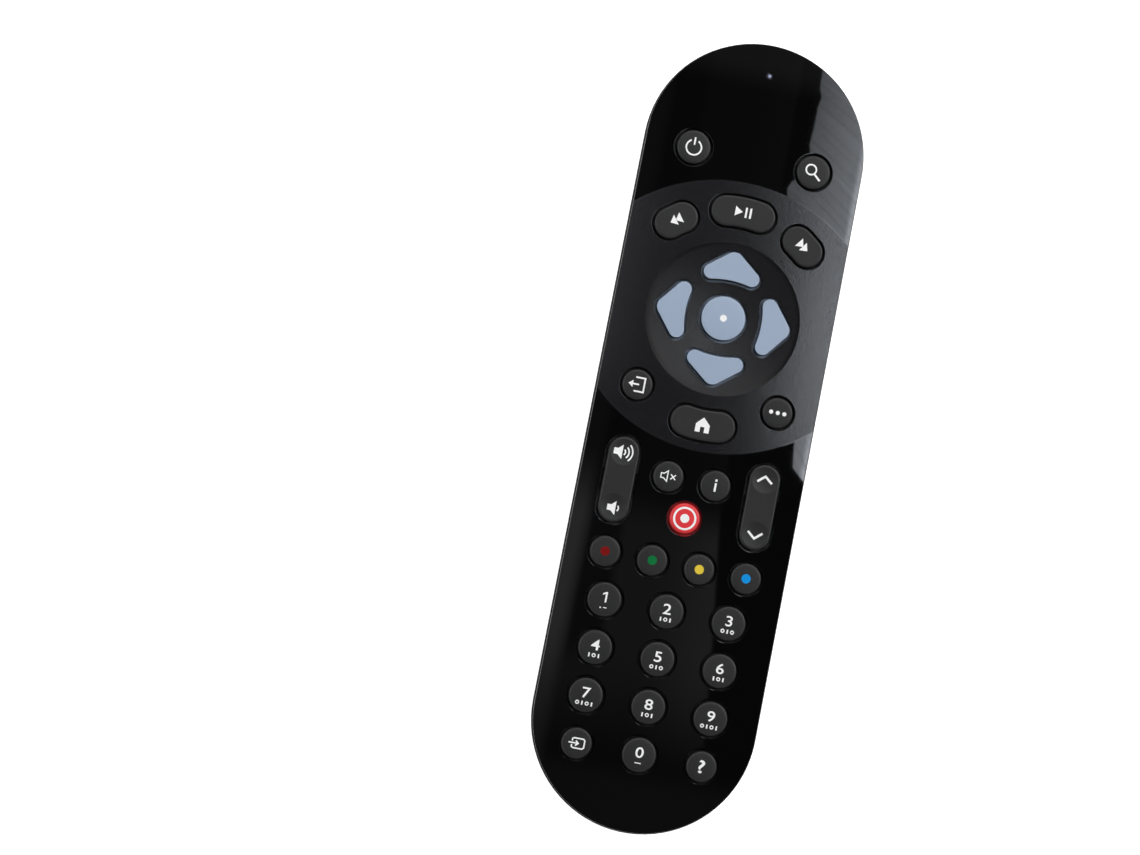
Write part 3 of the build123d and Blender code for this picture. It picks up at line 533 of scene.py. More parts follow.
# Painted highlight along the matt zone's edge: a light grey, and how much of it is mixed in
PAINTED_ZONE_RIM_HIGHLIGHT = colour(0.05, 0.05, 0.052)
PAINTED_ZONE_RIM_SHARE = 0.08
MATT_DARK = colour(0.0084, 0.0083, 0.0094)
MATT_LIGHT = colour(0.0103, 0.0102, 0.0115)
GLOSS_DARK = colour(0.0006, 0.0006, 0.0007)
GLOSS_LIGHT = colour(0.0012, 0.0012, 0.0014)
GLOSS_ROUGHNESS = (0.012, 0.016)
MATT_ROUGHNESS = 0.1
MATT_SPECKLE = 0.014
DISH_ROUGHNESS = 0.24

# Relief of the face, in millimetres: grain, long waves, and the bowl of the dish as shading
FACE_GRAIN = 0.006
FACE_WAVE = 0.027
BOWL_SHADE = 1.1
BOWL_POWER = 1.5


def plate_material():
    """Gloss black face with a matt zone round the ring, and a painted highlight, a lighter colour, along
    the zone's edge.
    """
    nodes = Nodes("face_gloss_and_matt")
    x, y, _ = nodes.axes()
    from_ring_x = nodes.math("SUBTRACT", x, RING_X)
    across = nodes.math("DIVIDE", from_ring_x, ZONE_HALF_WIDTH)
    along = nodes.math("DIVIDE", nodes.math("SUBTRACT", y, ZONE_Y), ZONE_HALF_HEIGHT)
    reach = nodes.math("SQRT", nodes.squares(across, along))
    zone = nodes.span(reach, 1 - ZONE_EDGE, 1 + ZONE_EDGE, 1.0, 0.0, smooth=True)
    # Painted highlight: a thin band just inside the zone's edge mixes in a light grey, standing in for
    # light caught there
    rim = nodes.product(nodes.span(reach, 1 - 3 * ZONE_EDGE, 1.0, 0.0, PAINTED_ZONE_RIM_SHARE), zone)
    matt = nodes.colour_mix(rim, nodes.colour_mix(nodes.noise(scale=70), MATT_DARK, MATT_LIGHT), PAINTED_ZONE_RIM_HIGHLIGHT)
    gloss = nodes.colour_mix(nodes.noise(scale=25), GLOSS_DARK, GLOSS_LIGHT)
    nodes.join(nodes.colour_mix(zone, gloss, matt), nodes.surface["Base Color"])

    bowl = nodes.squares(from_ring_x, nodes.math("SUBTRACT", y, RING_Y))
    speckle = nodes.varied(nodes.noise(scale=2600, detail=1.0), -MATT_SPECKLE, MATT_SPECKLE)
    dish = nodes.span(bowl, (DISH_RADIUS - 1) ** 2, DISH_RADIUS**2, DISH_ROUGHNESS, MATT_ROUGHNESS)
    smooth = nodes.varied(nodes.noise(scale=160), *GLOSS_ROUGHNESS)
    nodes.join(nodes.blend(zone, smooth, nodes.total(speckle, dish)), nodes.surface["Roughness"])
    nodes.surface["Specular IOR Level"].default_value = 0.5

    grain = nodes.product(nodes.noise(scale=3200, detail=2.0), zone, FACE_GRAIN)
    wave = nodes.product(nodes.noise(scale=22, detail=1.0), FACE_WAVE)
    curved = nodes.math("POWER", bowl, BOWL_POWER / 2)
    sunk = nodes.span(curved, 0.0, DISH_RADIUS**BOWL_POWER, 0.0, BOWL_SHADE)
    nodes.bump(nodes.total(grain, wave, sunk), 1.0)
    return nodes.material


def lens_material():
    """Dark clear plastic with a painted glint: a pale blue-grey colour at its middle that stands in for a
    reflection.
    """
    nodes = Nodes("lens_dark_clear")
    x, y, _ = nodes.axes()
    from_lens = nodes.squares(nodes.math("SUBTRACT", x, LENS_X), nodes.math("SUBTRACT", y, LENS_Y))
    # Painted highlight: the colour turns pale blue-grey towards the lens's middle
    painted_glint = nodes.span(nodes.math("SQRT", from_lens), 0.16, 0.5, 1.0, 0.0, smooth=True)
    painted_glint_colour = nodes.colour_mix(painted_glint, colour(0.003, 0.003, 0.005), colour(0.34, 0.38, 0.55))
    nodes.join(painted_glint_colour, nodes.surface["Base Color"])
    nodes.join(nodes.varied(nodes.noise(scale=400), 0.1, 0.16), nodes.surface["Roughness"])
    return nodes.material


KEY_BLACK = colour(0.0124, 0.0124, 0.0128)
ARROW_GREY = colour(0.34, 0.42, 0.55)
RECORD_RED = colour(0.78, 0.032, 0.041)
CASING_BLACK = colour(0.0125, 0.0125, 0.0132)
PRINT_WHITE = colour(0.98, 0.98, 0.98)
key_black = moulded("key_black_satin", KEY_BLACK, 0.5, grain=3000, depth=0.005, specular=0.34)
# The arrow and OK caps get painted shade on their upright walls, a tenth of their colour
arrow_grey = moulded("arrow_blue_grey", ARROW_GREY, 0.42, grain=2800, depth=0.003, spread=0.04, wall=0.1)
record_red = moulded("record_red_satin", RECORD_RED, 0.42, grain=2800, depth=0.003, spread=0.05)
casing_black = moulded("casing_soft_black", CASING_BLACK, 0.36, grain=2400, depth=0.007)
print_white = moulded("print_white", PRINT_WHITE, 0.5, grain=2500, depth=0.001, spread=0.02)
face = plate_material()

# Material and slot of the keys that aren't black
KEY_LOOKS = {name: (arrow_grey, "arrow_grey") for name in DISH_KEYS}
KEY_LOOKS["record_key"] = (record_red, "record_red")

# Front plate


def stadium_of_plate(inset=0.0):
    length = 2 * (PLATE_HALF_LENGTH - inset)
    return stadium(0, 0, PLATE_HALF_WIDTH - inset, length, PLATE_SIDE_STEPS, PLATE_END_STEPS)


def rounded(edge, steps=5):
    """(inset, drop) pairs round an edge, from the wall up to the flat."""
    angles = [radians(90 * step / steps) for step in range(steps + 1)]
    return [(edge * (1 - cos(angle)), edge * (1 - sin(angle))) for angle in angles]


def rolled():
    """(inset, drop) pairs of the shallow roll round a hole, from its wall out to the flat."""
    shares = [step / HOLE_ROLL_STEPS for step in range(HOLE_ROLL_STEPS + 1)]
    return [(HOLE_ROLL * share, HOLE_ROLL_DEPTH * (1 - share) ** 2) for share in shares]


def plate_height(x, y):
    """Height of the plate's top, which sinks to the middle of the dish."""
    share = ((x - RING_X) ** 2 + (y - RING_Y) ** 2) / DISH_RADIUS**2
    return PLATE_TOP - DISH_DEPTH * max(0.0, 1 - share)


def hole_outline(name, grow):
    """Outline of a plate's hole: the lens hole, or a key's."""
    if name == "lens":
        return circle(LENS_X, LENS_Y, LENS_HOLE + grow, LENS_HOLE_STEPS)
    return key_outline(name, KEY_GAP + grow)


plate = Shape()
holes = ("lens", *ALL_KEYS)
dish_holes = [name for name in holes if name in DISH_KEYS]
flat_holes = [name for name in holes if name not in DISH_KEYS]
plate.loft(
    [(stadium_of_plate(), RIM_Z)]
    + [(stadium_of_plate(inset), PLATE_TOP - drop) for inset, drop in rounded(PLATE_EDGE)]
)
for name in holes:
    plate.loft(
        [(hole_outline(name, 0), RIM_Z)]
        + [
            (hole_outline(name, inset), lambda x, y, drop=drop: plate_height(x, y) - drop)
            for inset, drop in rolled()
        ]
    )
dish_rim = circle(RING_X, RING_Y, DISH_RADIUS, DISH_RIM_STEPS)
plate.fill(
    [stadium_of_plate(PLATE_EDGE), dish_rim, *(hole_outline(name, HOLE_ROLL) for name in flat_holes)],
    PLATE_TOP,
)
plate.fill(
    [dish_rim, *(hole_outline(name, HOLE_ROLL) for name in dish_holes)],
    plate_height,
    LONGEST_DISH_EDGE,
)
plate.fill([stadium_of_plate(), *(hole_outline(name, 0) for name in holes)], RIM_Z)
make_piece("plate_face", plate, face, "remote", ["front_plate"])

# Keys


def key_height(name):
    """The height of a key's top over a point, as a function."""
    middle_x, middle_y = node_centre(name)

    def domed(x, y):
        squares = (x - middle_x) ** 2 + (y - middle_y) ** 2
        return KEY_CROWN - KEY_DOME * squares / ROUND_KEYS[name] ** 2

    def hollowed(x, y):
        away = hypot(x - middle_x, abs(y - middle_y) - ROCKER_DISH_OFFSET) / ROCKER_DISH_RADIUS
        return KEY_CROWN - ROCKER_DISH_DEPTH * max(0.0, 1 - away**2)

    if name in ROUND_KEYS:
        return domed
    return hollowed if name in ROCKER_KEYS else lambda x, y: KEY_CROWN


def stem_places(name):
    """Where the stems under a key stand."""
    if name in ROUND_KEYS:
        return [node_centre(name)]
    if name in RING_KEYS:
        return [on_ring(PILL_RING_RADIUS, RING_KEYS[name][0])]
    if name in ARROW_KEYS:
        return [on_ring(ARROW_STEM_RADIUS, 90 + ARROW_KEYS[name])]
    x, y = node_centre(name)
    return [(x, y - ROCKER_STEM_OFFSET), (x, y + ROCKER_STEM_OFFSET)]


def make_key(name):
    """A key cap with its lip and stems, standing for the CAD key."""
    height = key_height(name)
    edge = DISH_KEY_EDGE if name in DISH_KEYS else KEY_EDGE
    low, high = node_box(name)
    rocks = name in ROCKER_KEYS
    lip_bottom = high.z - (ROCKER_LIP_DROP if rocks else KEY_LIP_DROP)
    lip_top = lip_bottom + KEY_LIP_HEIGHT
    wall = key_outline(name, -CAP_INSET)
    shape = Shape()
    if rocks:
        levels = [(wall, lip_bottom)]
    else:
        lip = key_outline(name, KEY_LIP)
        levels = [(lip, lip_bottom), (lip, lip_top), (wall, lip_top)]
    for inset, drop in rounded(edge):
        outline = key_outline(name, -CAP_INSET - inset)
        levels.append((outline, lambda x, y, drop=drop: height(x, y) - drop))
    if name in ROUND_KEYS:
        levels += [(key_outline(name, -ROUND_KEYS[name] * share), height) for share in DOME_RINGS]
    rings = shape.loft(levels)
    if rocks:
        x, y = node_centre(name)
        short_lip = rectangle(x, y, 2 * (ROCKER_HALF_WIDTH + KEY_LIP), ROCKER_LIP_LENGTH)
        shape.prism(short_lip, lip_bottom, lip_top)
        rims = [circle(x, y + side * ROCKER_DISH_OFFSET, ROCKER_DISH_RADIUS) for side in (-1, 1)]
        shape.fill([key_outline(name, -CAP_INSET - KEY_EDGE), *rims], height)
        for rim in rims:
            shape.fill([rim], height, LONGEST_HOLLOW_EDGE)
    else:
        shape.faces.append(tuple(rings[-1]))
    shape.fill([levels[0][0]], lip_bottom)
    for x, y in stem_places(name):
        shape.prism(rectangle(x, y, STEM_SIDE, STEM_SIDE), low.z, lip_bottom)
    material, slot = KEY_LOOKS.get(name, (key_black, "key_black"))
    make_piece(name.removesuffix("_key") + "_cap", shape, material, name, [name], sharp=50)


for name in ALL_KEYS:
    make_key(name)

# Printed signs, laid out about the middle of their keys. An area is its outline and those of its holes


def disc(x, y, radius):
    return [circle(x, y, radius, DISC_STEPS)]


def hoop(x, y, radius, stroke):
    return [circle(x, y, radius, HOOP_STEPS), circle(x, y, radius - stroke, HOOP_STEPS)]


def arc_band(x, y, radius, stroke, start, turn, steps=24):
    """Part of a hoop, from its outer radius."""
    outer = arc(x, y, radius, start, turn, steps)
    inner = arc(x, y, radius - stroke, start, turn, steps)
    return [outer + inner[::-1]]


def block(x, y, width, height):
    return [rectangle(x, y, width, height)]


def line_band(points, stroke, closed=False):
    """A line of even stroke through the points, with mitred corners."""
    count = len(points)
    left, right = [], []
    for step, (x, y) in enumerate(points):
        before = points[step - 1] if closed or step > 0 else None
        after = points[(step + 1) % count] if closed or step < count - 1 else None
        headings = []
        for first, last in ((before, (x, y)), ((x, y), after)):
            if first is not None and last is not None:
                length = hypot(last[0] - first[0], last[1] - first[1])
                headings.append(((last[0] - first[0]) / length, (last[1] - first[1]) / length))
        mean_x = sum(heading[0] for heading in headings)
        mean_y = sum(heading[1] for heading in headings)
        size = hypot(mean_x, mean_y)
        across = (-mean_y / size, mean_x / size)
        share = across[0] * -headings[0][1] + across[1] * headings[0][0]
        reach = stroke / 2 / share
        left.append((x + across[0] * reach, y + across[1] * reach))
        right.append((x - across[0] * reach, y - across[1] * reach))
    return [left, right] if closed else [left + right[::-1]]


def rotated(areas, angle):
    """The areas turned about their own middle."""
    c, s = cos(radians(angle)), sin(radians(angle))
    return [[[(c * x - s * y, s * x + c * y) for x, y in loop] for loop in area] for area in areas]


def moved(areas, x, y):
    return [[[(px + x, py + y) for px, py in loop] for loop in area] for area in areas]


def speaker(waves, size):
    """A filled loudspeaker with sound waves to its right."""
    body = [[(-1.9, -0.62), (-1.1, -0.62), (-0.15, -1.45), (-0.15, 1.45), (-1.1, 0.62), (-1.9, 0.62)]]
    bands = [arc_band(-0.25, 0, 0.85 + 0.72 * step, 0.3, -48, 96, 16) for step in range(waves)]
    return [[[(x * size, y * size) for x, y in loop] for loop in area] for area in [body, *bands]]


THIN_LINE = 0.22
LINE = 0.33
FRAME_LINE = 0.34
ARROW_LINE = 0.28
BAR = 0.4
CHEVRON = 0.45
DOT_PITCH = 1.36
DOT_RADIUS = 0.42
COLOUR_DOT_RADIUS = 0.93
TRIANGLE = [[(-0.6, -1.12), (0.71, 0.0), (-0.6, 1.12)]]
PAIR = moved([TRIANGLE], -0.57, 0) + moved([TRIANGLE], 0.6, 0)
SIGNS = {
    "power_key": [
        arc_band(0, -0.15, 1.7, LINE, 118, 304, 48),
        block(0, 1.15, LINE, 1.55),
    ],
    "search_key": [
        hoop(-0.58, 0.42, 1.2, LINE),
        line_band([(0.2, -0.38), (1.5, -1.55)], BAR),
    ],
    "rewind_key": rotated(PAIR, RING_KEYS["rewind_key"][0] + 90),
    "fast_forward_key": rotated(PAIR, RING_KEYS["fast_forward_key"][0] - 90),
    "play_pause_key": [
        [[(-1.75, -1.0), (-0.2, 0.0), (-1.75, 1.0)]],
        block(0.5, 0, BAR, 2.1),
        block(1.4, 0, BAR, 2.1),
    ],
    "ok_key": [disc(0, 0, 0.7)],
    "back_key": [
        line_band([(-0.55, 1.4), (1.35, 1.4), (1.35, -1.4), (-0.55, -1.4)], FRAME_LINE),
        line_band([(-1.5, 0), (0.3, 0)], FRAME_LINE),
        [[(-1.85, 0.0), (-0.95, -0.72), (-0.95, 0.72)]],
    ],
    "more_key": [disc(step * DOT_PITCH, 0, DOT_RADIUS) for step in (-1, 0, 1)],
    "home_key": [[[
        (-1.42, 0.1), (-1.42, -1.5), (-0.42, -1.5), (-0.42, -0.4), (0.42, -0.4), (0.42, -1.5),
        (1.42, -1.5), (1.42, 0.1), (0.0, 1.55),
    ]]],
    "mute_key": [
        line_band(
            [(-1.5, -0.45), (-0.95, -0.45), (-0.2, -1.05), (-0.2, 1.05), (-0.95, 0.45), (-1.5, 0.45)],
            THIN_LINE,
            closed=True,
        ),
        line_band([(0.45, -0.5), (1.45, 0.5)], THIN_LINE),
        line_band([(0.45, 0.5), (1.45, -0.5)], THIN_LINE),
    ],
    "info_key": [block(0, -0.35, 0.42, 1.75), block(0, 1.05, 0.42, 0.46)],
    "record_key": [hoop(0, 0, 2.34, 0.42), disc(0, 0, 0.9)],
    "input_key": [
        line_band([
            (-0.9, 0.35), (-0.9, 0.8), (-0.6, 0.98), (1.25, 0.98), (1.55, 0.7),
            (1.55, -0.7), (1.25, -0.98), (-0.6, -0.98), (-0.9, -0.8), (-0.9, -0.35),
        ], ARROW_LINE),
        line_band([(-1.6, 0), (0.1, 0)], ARROW_LINE),
        line_band([(-0.2, 0.5), (0.35, 0), (-0.2, -0.5)], ARROW_LINE),
    ],
    "volume_rocker": moved(speaker(3, 1.0), -0.15, ROCKER_DISH_OFFSET)
    + moved(speaker(1, 0.97), 0.6, -ROCKER_DISH_OFFSET - 0.25),
    "channel_rocker": [
        line_band([(-1.5, side * 5.05), (0.0, side * 6.3), (1.5, side * 5.05)], CHEVRON)
        for side in (1, -1)
    ],
}
DOT_COLOURS = {
    "red_key": colour(0.2, 0.003, 0.003),
    "green_key": colour(0.002, 0.17, 0.042),
    "yellow_key": colour(0.8, 0.6, 0.055),
    "blue_key": colour(0.004, 0.3, 0.78),
}
for name in DOT_COLOURS:
    SIGNS[name] = [disc(0, 0, COLOUR_DOT_RADIUS)]

# Digits. Plain marks, a small ring or bar each, stand in a row under 2 to 9
MARK_PITCH = 0.96
MARK_Y = -1.62
MARK_HEIGHT = 0.82
MARK_BAR = 0.3
FOUR_MARKS = (7, 9)


def mark(x, is_ring):
    if is_ring:
        return hoop(x, MARK_Y, MARK_HEIGHT / 2, THIN_LINE)
    return block(x, MARK_Y, MARK_BAR, MARK_HEIGHT)


for digit in range(2, 10):
    count = 4 if digit in FOUR_MARKS else 3
    first = -MARK_PITCH * (count - 1) / 2
    SIGNS[f"digit_{digit}_key"] = [
        mark(first + MARK_PITCH * step, (step + digit) % 2) for step in range(count)
    ]
FIGURE_ONE = [[
    (0.08, -0.575), (0.44, -0.575), (0.44, 1.525), (0.12, 1.525),
    (-0.5, 1.17), (-0.5, 0.82), (0.08, 1.12),
]]
SIGNS["digit_1_key"] = [FIGURE_ONE, disc(-0.55, -1.68, 0.15), block(0.35, -1.6, 0.7, 0.18)]
SIGNS["digit_0_key"] = [block(0, MARK_Y, 1.27, 0.2)]

# Figures of the built-in font: text, height, widening and rise over the key's middle
FIGURES = {f"digit_{digit}_key": (str(digit), 2.1, 1.22, 0.475) for digit in (0, *range(2, 10))}
FIGURES["help_key"] = ("?", 2.6, 1.45, 0.0)
FIGURE_BOLDNESS = 0.012
FIGURE_CURVE_STEPS = 6


def add_figure(shape, text, height, widening, x, y):
    """A figure as a flat mesh of the given height about its middle."""
    curve = bpy.data.curves.new("figure", "FONT")
    curve.body = text
    curve.offset = FIGURE_BOLDNESS
    curve.resolution_u = FIGURE_CURVE_STEPS
    holder = bpy.data.objects.new("figure", curve)
    mesh = bpy.data.meshes.new_from_object(holder)
    xs = [point.co.x for point in mesh.vertices]
    ys = [point.co.y for point in mesh.vertices]
    size = height / (max(ys) - min(ys))
    widened = size * widening
    places = [
        (
            x + (point.co.x - (max(xs) + min(xs)) / 2) * widened,
            y + (point.co.y - (max(ys) + min(ys)) / 2) * size,
            0,
        )
        for point in mesh.vertices
    ]
    first = len(shape.points)
    shape.points += places
    shape.faces += [tuple(first + corner for corner in face.vertices) for face in mesh.polygons]
    bpy.data.objects.remove(holder)
    bpy.data.curves.remove(curve)
    bpy.data.meshes.remove(mesh)


def print_sign(name, material):
    """The print of one key, laid on its top."""
    middle_x, middle_y = node_centre(name)
    if name in RING_KEYS:
        middle_x, middle_y = stem_places(name)[0]
    height = key_height(name)
    shape = Shape()
    for area in moved(SIGNS.get(name, []), middle_x, middle_y):
        shape.fill(area, 0, LONGEST_PRINT_EDGE)
    if name in FIGURES:
        text, tall, widening, rise = FIGURES[name]
        add_figure(shape, text, tall, widening, middle_x, middle_y + rise)
    mesh = bpy.data.meshes.new(name + "_print")
    mesh.from_pydata(shape.points, [], shape.faces)
    work = bmesh.new()
    work.from_mesh(mesh)
    for point in work.verts:
        x, y, _ = point.co
        point.co = (x * MM, y * MM, (height(x, y) + PRINT_LIFT) * MM)
    work.normal_update()
    for area_face in work.faces:
        if area_face.normal.z < 0:
            area_face.normal_flip()
        area_face.smooth = True
    work.to_mesh(mesh)
    work.free()
    mesh.materials.append(material)
    piece = add_object(name + "_print", mesh)
    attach(piece, name)


def ink_of(name):
    if name not in DOT_COLOURS:
        return print_white
    ink = name.removesuffix("_key") + "_ink"
    return moulded(ink, DOT_COLOURS[name], 0.45, depth=0.001, spread=0.04, specular=0.15)


for name in ALL_KEYS:
    if name in SIGNS or name in FIGURES:
        print_sign(name, ink_of(name))

# Springs of round wire. Each is laid out along its own axis and then put in its place
SPRING_WIRE = 0.4
STEPS_IN_TURN = 28
WIRE_SIDES = 10
CONTACT_SPRING_RADII = (3.8, 2.0)
CONTACT_SPRING_TURNS = 2
RELEASE_SPRING_RADII = (4.7, 4.7)
RELEASE_SPRING_TURNS = 3
spring_steel = metal("spring_wire", colour(0.62, 0.61, 0.6), 0.22)


def make_coil(node, radii, turns, length, place, body):
    """A coil of round wire that stands for the CAD's coil."""
    shape = Shape()
    rings = []
    steps = turns * STEPS_IN_TURN
    for step in range(steps + 1):
        radius = radii[0] + (radii[1] - radii[0]) * step / steps
        angle = 2 * pi * step / STEPS_IN_TURN
        along = SPRING_WIRE / 2 + (length - SPRING_WIRE) * step / steps
        first = len(shape.points)
        for across, up in circle(0, 0, SPRING_WIRE / 2, WIRE_SIDES):
            reach = radius + across
            shape.points.append(place(reach * cos(angle), reach * sin(angle), along + up))
        rings.append(list(range(first, len(shape.points))))
    shape.skin(rings)
    shape.faces += [tuple(rings[0]), tuple(rings[-1])]
    return make_piece(node + "_coil", shape, spring_steel, body, [node], sharp=60)


def make_contact_spring(node, cell, side):
    """The spring between a cell and the wall of the bay that lies on the given side of it along Y."""
    low, high = node_box(node)
    wall = high.y if side > 0 else low.y
    cell_x = node_centre(cell)[0]
    cell_low, cell_high = node_box(cell)
    cell_z = (cell_low.z + cell_high.z) / 2
    make_coil(
        node, CONTACT_SPRING_RADII, CONTACT_SPRING_TURNS, high.y - low.y,
        lambda x, y, z: (cell_x + x, wall - side * z, cell_z + side * y), "remote",
    )


make_contact_spring("contact_spring_top", "cell_left", 1)
make_contact_spring("contact_spring_bottom", "cell_right", -1)
BUTTON_Y = node_centre("release_button")[1]
low, high = node_box("release_spring")
release_coil = make_coil(
    "release_spring", RELEASE_SPRING_RADII, RELEASE_SPRING_TURNS, high.z - low.z,
    lambda x, y, z: (x, BUTTON_Y + y, low.z + z), "cover",
)
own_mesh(release_coil)

# Camera: above the object and a little to its lower left
SENSOR = 36.0
LENS = 78.95
CAMERA_X = -50.01
CAMERA_Y = -48.1
CAMERA_Z = 512.27
CAMERA_TURN = (4.192, -6.637, 10.952)
SHIFT_X = -0.1117
SHIFT_Y = 0.0104
NEAR_CLIP = 10.0
camera_data = bpy.data.cameras.new("camera")
camera_data.lens = LENS
camera_data.sensor_width = SENSOR
camera_data.shift_x = SHIFT_X
camera_data.shift_y = SHIFT_Y
camera_data.clip_start = NEAR_CLIP * MM
camera = add_object("camera", camera_data)
camera.location = (CAMERA_X * MM, CAMERA_Y * MM, CAMERA_Z * MM)
camera.rotation_euler = [radians(angle) for angle in CAMERA_TURN]
bpy.context.scene.camera = camera

# Other CAD nodes keep their shape and get their materials
CELL_NUB = 0.8
CELL_RIM = 0.5
CELL_BAND = 13.0
FOIL_METAL = 0.8


def cell_material(node, side):
    """A cell's foil sleeve with bare ends, light towards its nub, whose side along Y is 1 or -1."""
    nodes = Nodes(node + "_sleeve")
    low, high = node_box(node)
    half = (high.y - low.y) / 2
    _, y, _ = nodes.axes()
    along = nodes.product(nodes.math("SUBTRACT", y, (high.y + low.y) / 2), side)
    nub_end = nodes.math("GREATER_THAN", along, half - CELL_NUB - CELL_RIM)
    flat_end = nodes.math("LESS_THAN", along, CELL_RIM - half)
    bare = nodes.math("MAXIMUM", nub_end, flat_end)
    light = nodes.math("GREATER_THAN", along, half - CELL_NUB - CELL_BAND)
    uneven = nodes.noise(scale=90)
    dark_foil = nodes.colour_mix(uneven, colour(0.02, 0.025, 0.04), colour(0.026, 0.032, 0.05))
    light_foil = nodes.colour_mix(uneven, colour(0.42, 0.3, 0.14), colour(0.5, 0.36, 0.17))
    end = nodes.colour_mix(uneven, colour(0.52, 0.52, 0.53), colour(0.62, 0.62, 0.63))
    sleeve = nodes.colour_mix(light, dark_foil, light_foil)
    nodes.join(nodes.colour_mix(bare, sleeve, end), nodes.surface["Base Color"])
    nodes.join(nodes.math("MAXIMUM", bare, nodes.product(light, FOIL_METAL)), nodes.surface["Metallic"])
    nodes.join(nodes.varied(uneven, 0.2, 0.27), nodes.surface["Roughness"])
    return nodes.material


steel = metal("steel_bright", colour(0.6, 0.6, 0.61), 0.25)
nickel = metal("contact_nickel", colour(0.72, 0.7, 0.65), 0.2)
NODE_MATERIALS = {
    "rear_casing": casing_black,
    "battery_cover": casing_black,
    "release_button": casing_black,
    "keypad_sheet": moulded("sheet_rubber", colour(0.2, 0.2, 0.21), 0.7),
    "circuit_board": moulded("board_lacquer", colour(0.02, 0.16, 0.07), 0.25, depth=0.002),
    "controller_chip": moulded("chip_black", colour(0.02, 0.02, 0.02), 0.5),
    "crystal": steel,
    "capacitor": moulded("capacitor_sleeve", colour(0.03, 0.04, 0.12), 0.2, depth=0.001),
    "ir_window": moulded("window_dark_red", colour(0.03, 0.002, 0.005), 0.1, depth=0.001, specular=0.2),
    "ir_emitter": moulded("emitter_resin", colour(0.5, 0.55, 0.75), 0.1, depth=0.001),
    "status_lamp": moulded("lamp_body", colour(0.85, 0.82, 0.6), 0.3, depth=0.001),
    "status_light_pipe": lens_material(),
    "case_screw": steel,
    "latch_clip": spring_steel,
    "negative_contact": nickel,
    "positive_contact": nickel,
    "bridge_contact": nickel,
    "cell_right": cell_material("cell_right", 1),
    "cell_left": cell_material("cell_left", -1),
}
for name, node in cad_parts.items():
    if not node.hide_render:
        node.data.materials.clear()
        node.data.materials.append(NODE_MATERIALS[name])

# Floor, pale, with a soft shadow, and white to the camera and in reflections
FLOOR_SIDE = 6000.0
FLOOR_DROP = 0.2
FLOOR_GREY = 0.8
FLOOR_GLOW = 0.9
floor_mesh = bpy.data.meshes.new("floor")
floor_corners = rectangle(0, 0, FLOOR_SIDE, FLOOR_SIDE)
floor_mesh.from_pydata([(x * MM, y * MM, 0) for x, y in floor_corners], [], [(0, 1, 2, 3)])
floor = add_object("floor", floor_mesh)
floor.location.z = -FLOOR_DROP * MM
floor_look = bpy.data.materials.new("floor_white")
floor_look.use_nodes = True
floor_look.node_tree.nodes.clear()
nodes = Tree(floor_look.node_tree)
rays = nodes.add("ShaderNodeLightPath").outputs
seen = nodes.math("MAXIMUM", rays["Is Camera Ray"], rays["Is Glossy Ray"])
matt_white = nodes.shader("ShaderNodeBsdfDiffuse", Color=colour(FLOOR_GREY, FLOOR_GREY, FLOOR_GREY))
glow = nodes.shader("ShaderNodeEmission", Strength=nodes.product(seen, FLOOR_GLOW))
nodes.finish("ShaderNodeOutputMaterial", nodes.shader_pair("ShaderNodeAddShader", matt_white, glow))
floor_mesh.materials.append(floor_look)

# World: white to the camera. In reflections it is brightest between the horizon and the dark top
WHITE = colour(1, 1, 1)
SOFT_LIGHT = 0.18
SKY_GLOW = 2.2
LOW_SKY_SHARE = 0.25
GROUND_SHARE = 0.12
world = bpy.data.worlds.new("studio")
bpy.context.scene.world = world
world.use_nodes = True
world.node_tree.nodes.clear()
nodes = Tree(world.node_tree)
rays = nodes.add("ShaderNodeLightPath").outputs
upward = nodes.split(nodes.add("ShaderNodeTexCoord").outputs["Generated"])["Z"]
sky = nodes.product(
    nodes.span(upward, 0.4, 0.85, SKY_GLOW, 0.0, smooth=True),
    nodes.span(upward, 0.25, 0.5, LOW_SKY_SHARE, 1.0, smooth=True),
    nodes.span(upward, -0.15, 0.0, GROUND_SHARE, 1.0, smooth=True),
)
white = nodes.shader("ShaderNodeBackground", Color=WHITE, Strength=1.0)
soft = nodes.shader("ShaderNodeBackground", Color=WHITE, Strength=SOFT_LIGHT)
mirrored = nodes.shader("ShaderNodeBackground", Color=WHITE, Strength=sky)
lit = nodes.shader_pair("ShaderNodeMixShader", soft, mirrored, rays["Is Glossy Ray"])
seen = nodes.shader_pair("ShaderNodeMixShader", lit, white, rays["Is Camera Ray"])
nodes.finish("ShaderNodeOutputWorld", seen)

# Lit cards overhead, seen only in reflections. Each is placed by the part of the plate that mirrors it
CARD_OVER_PLATE = 1000.0
MIRROR_SCALE = 1 + CARD_OVER_PLATE / (CAMERA_Z - PLATE_TOP)
PANEL_IN_PLATE = [
    (10.6, 74), (11.3, 72), (10.9, 70), (10.9, 66), (10.6, 62), (11.0, 60), (10.9, 57.5), (10.3, 56),
    (9.4, 54.8), (8.2, 53.6), (7.6, 52), (8.1, 50), (9.4, 49), (14.5, 44), (16.5, 25), (18.6, 5),
    (19.6, -3), (24, -7), (31, -7), (31, 84), (10.4, 84),
]
VEIL_IN_PLATE = [(-26, -90), (26, -90), (26, 84), (-26, 84)]
TOP_CARD_IN_PLATE = [(-90, 85), (90, 85), (90, 170), (-90, 170)]
RIGHT_CARD_IN_PLATE = [(34, -20), (110, -20), (110, 84), (34, 84)]
LEFT_CARD_IN_PLATE = [(-46, 6), (-25.5, 6), (-25.5, 66), (-46, 66)]


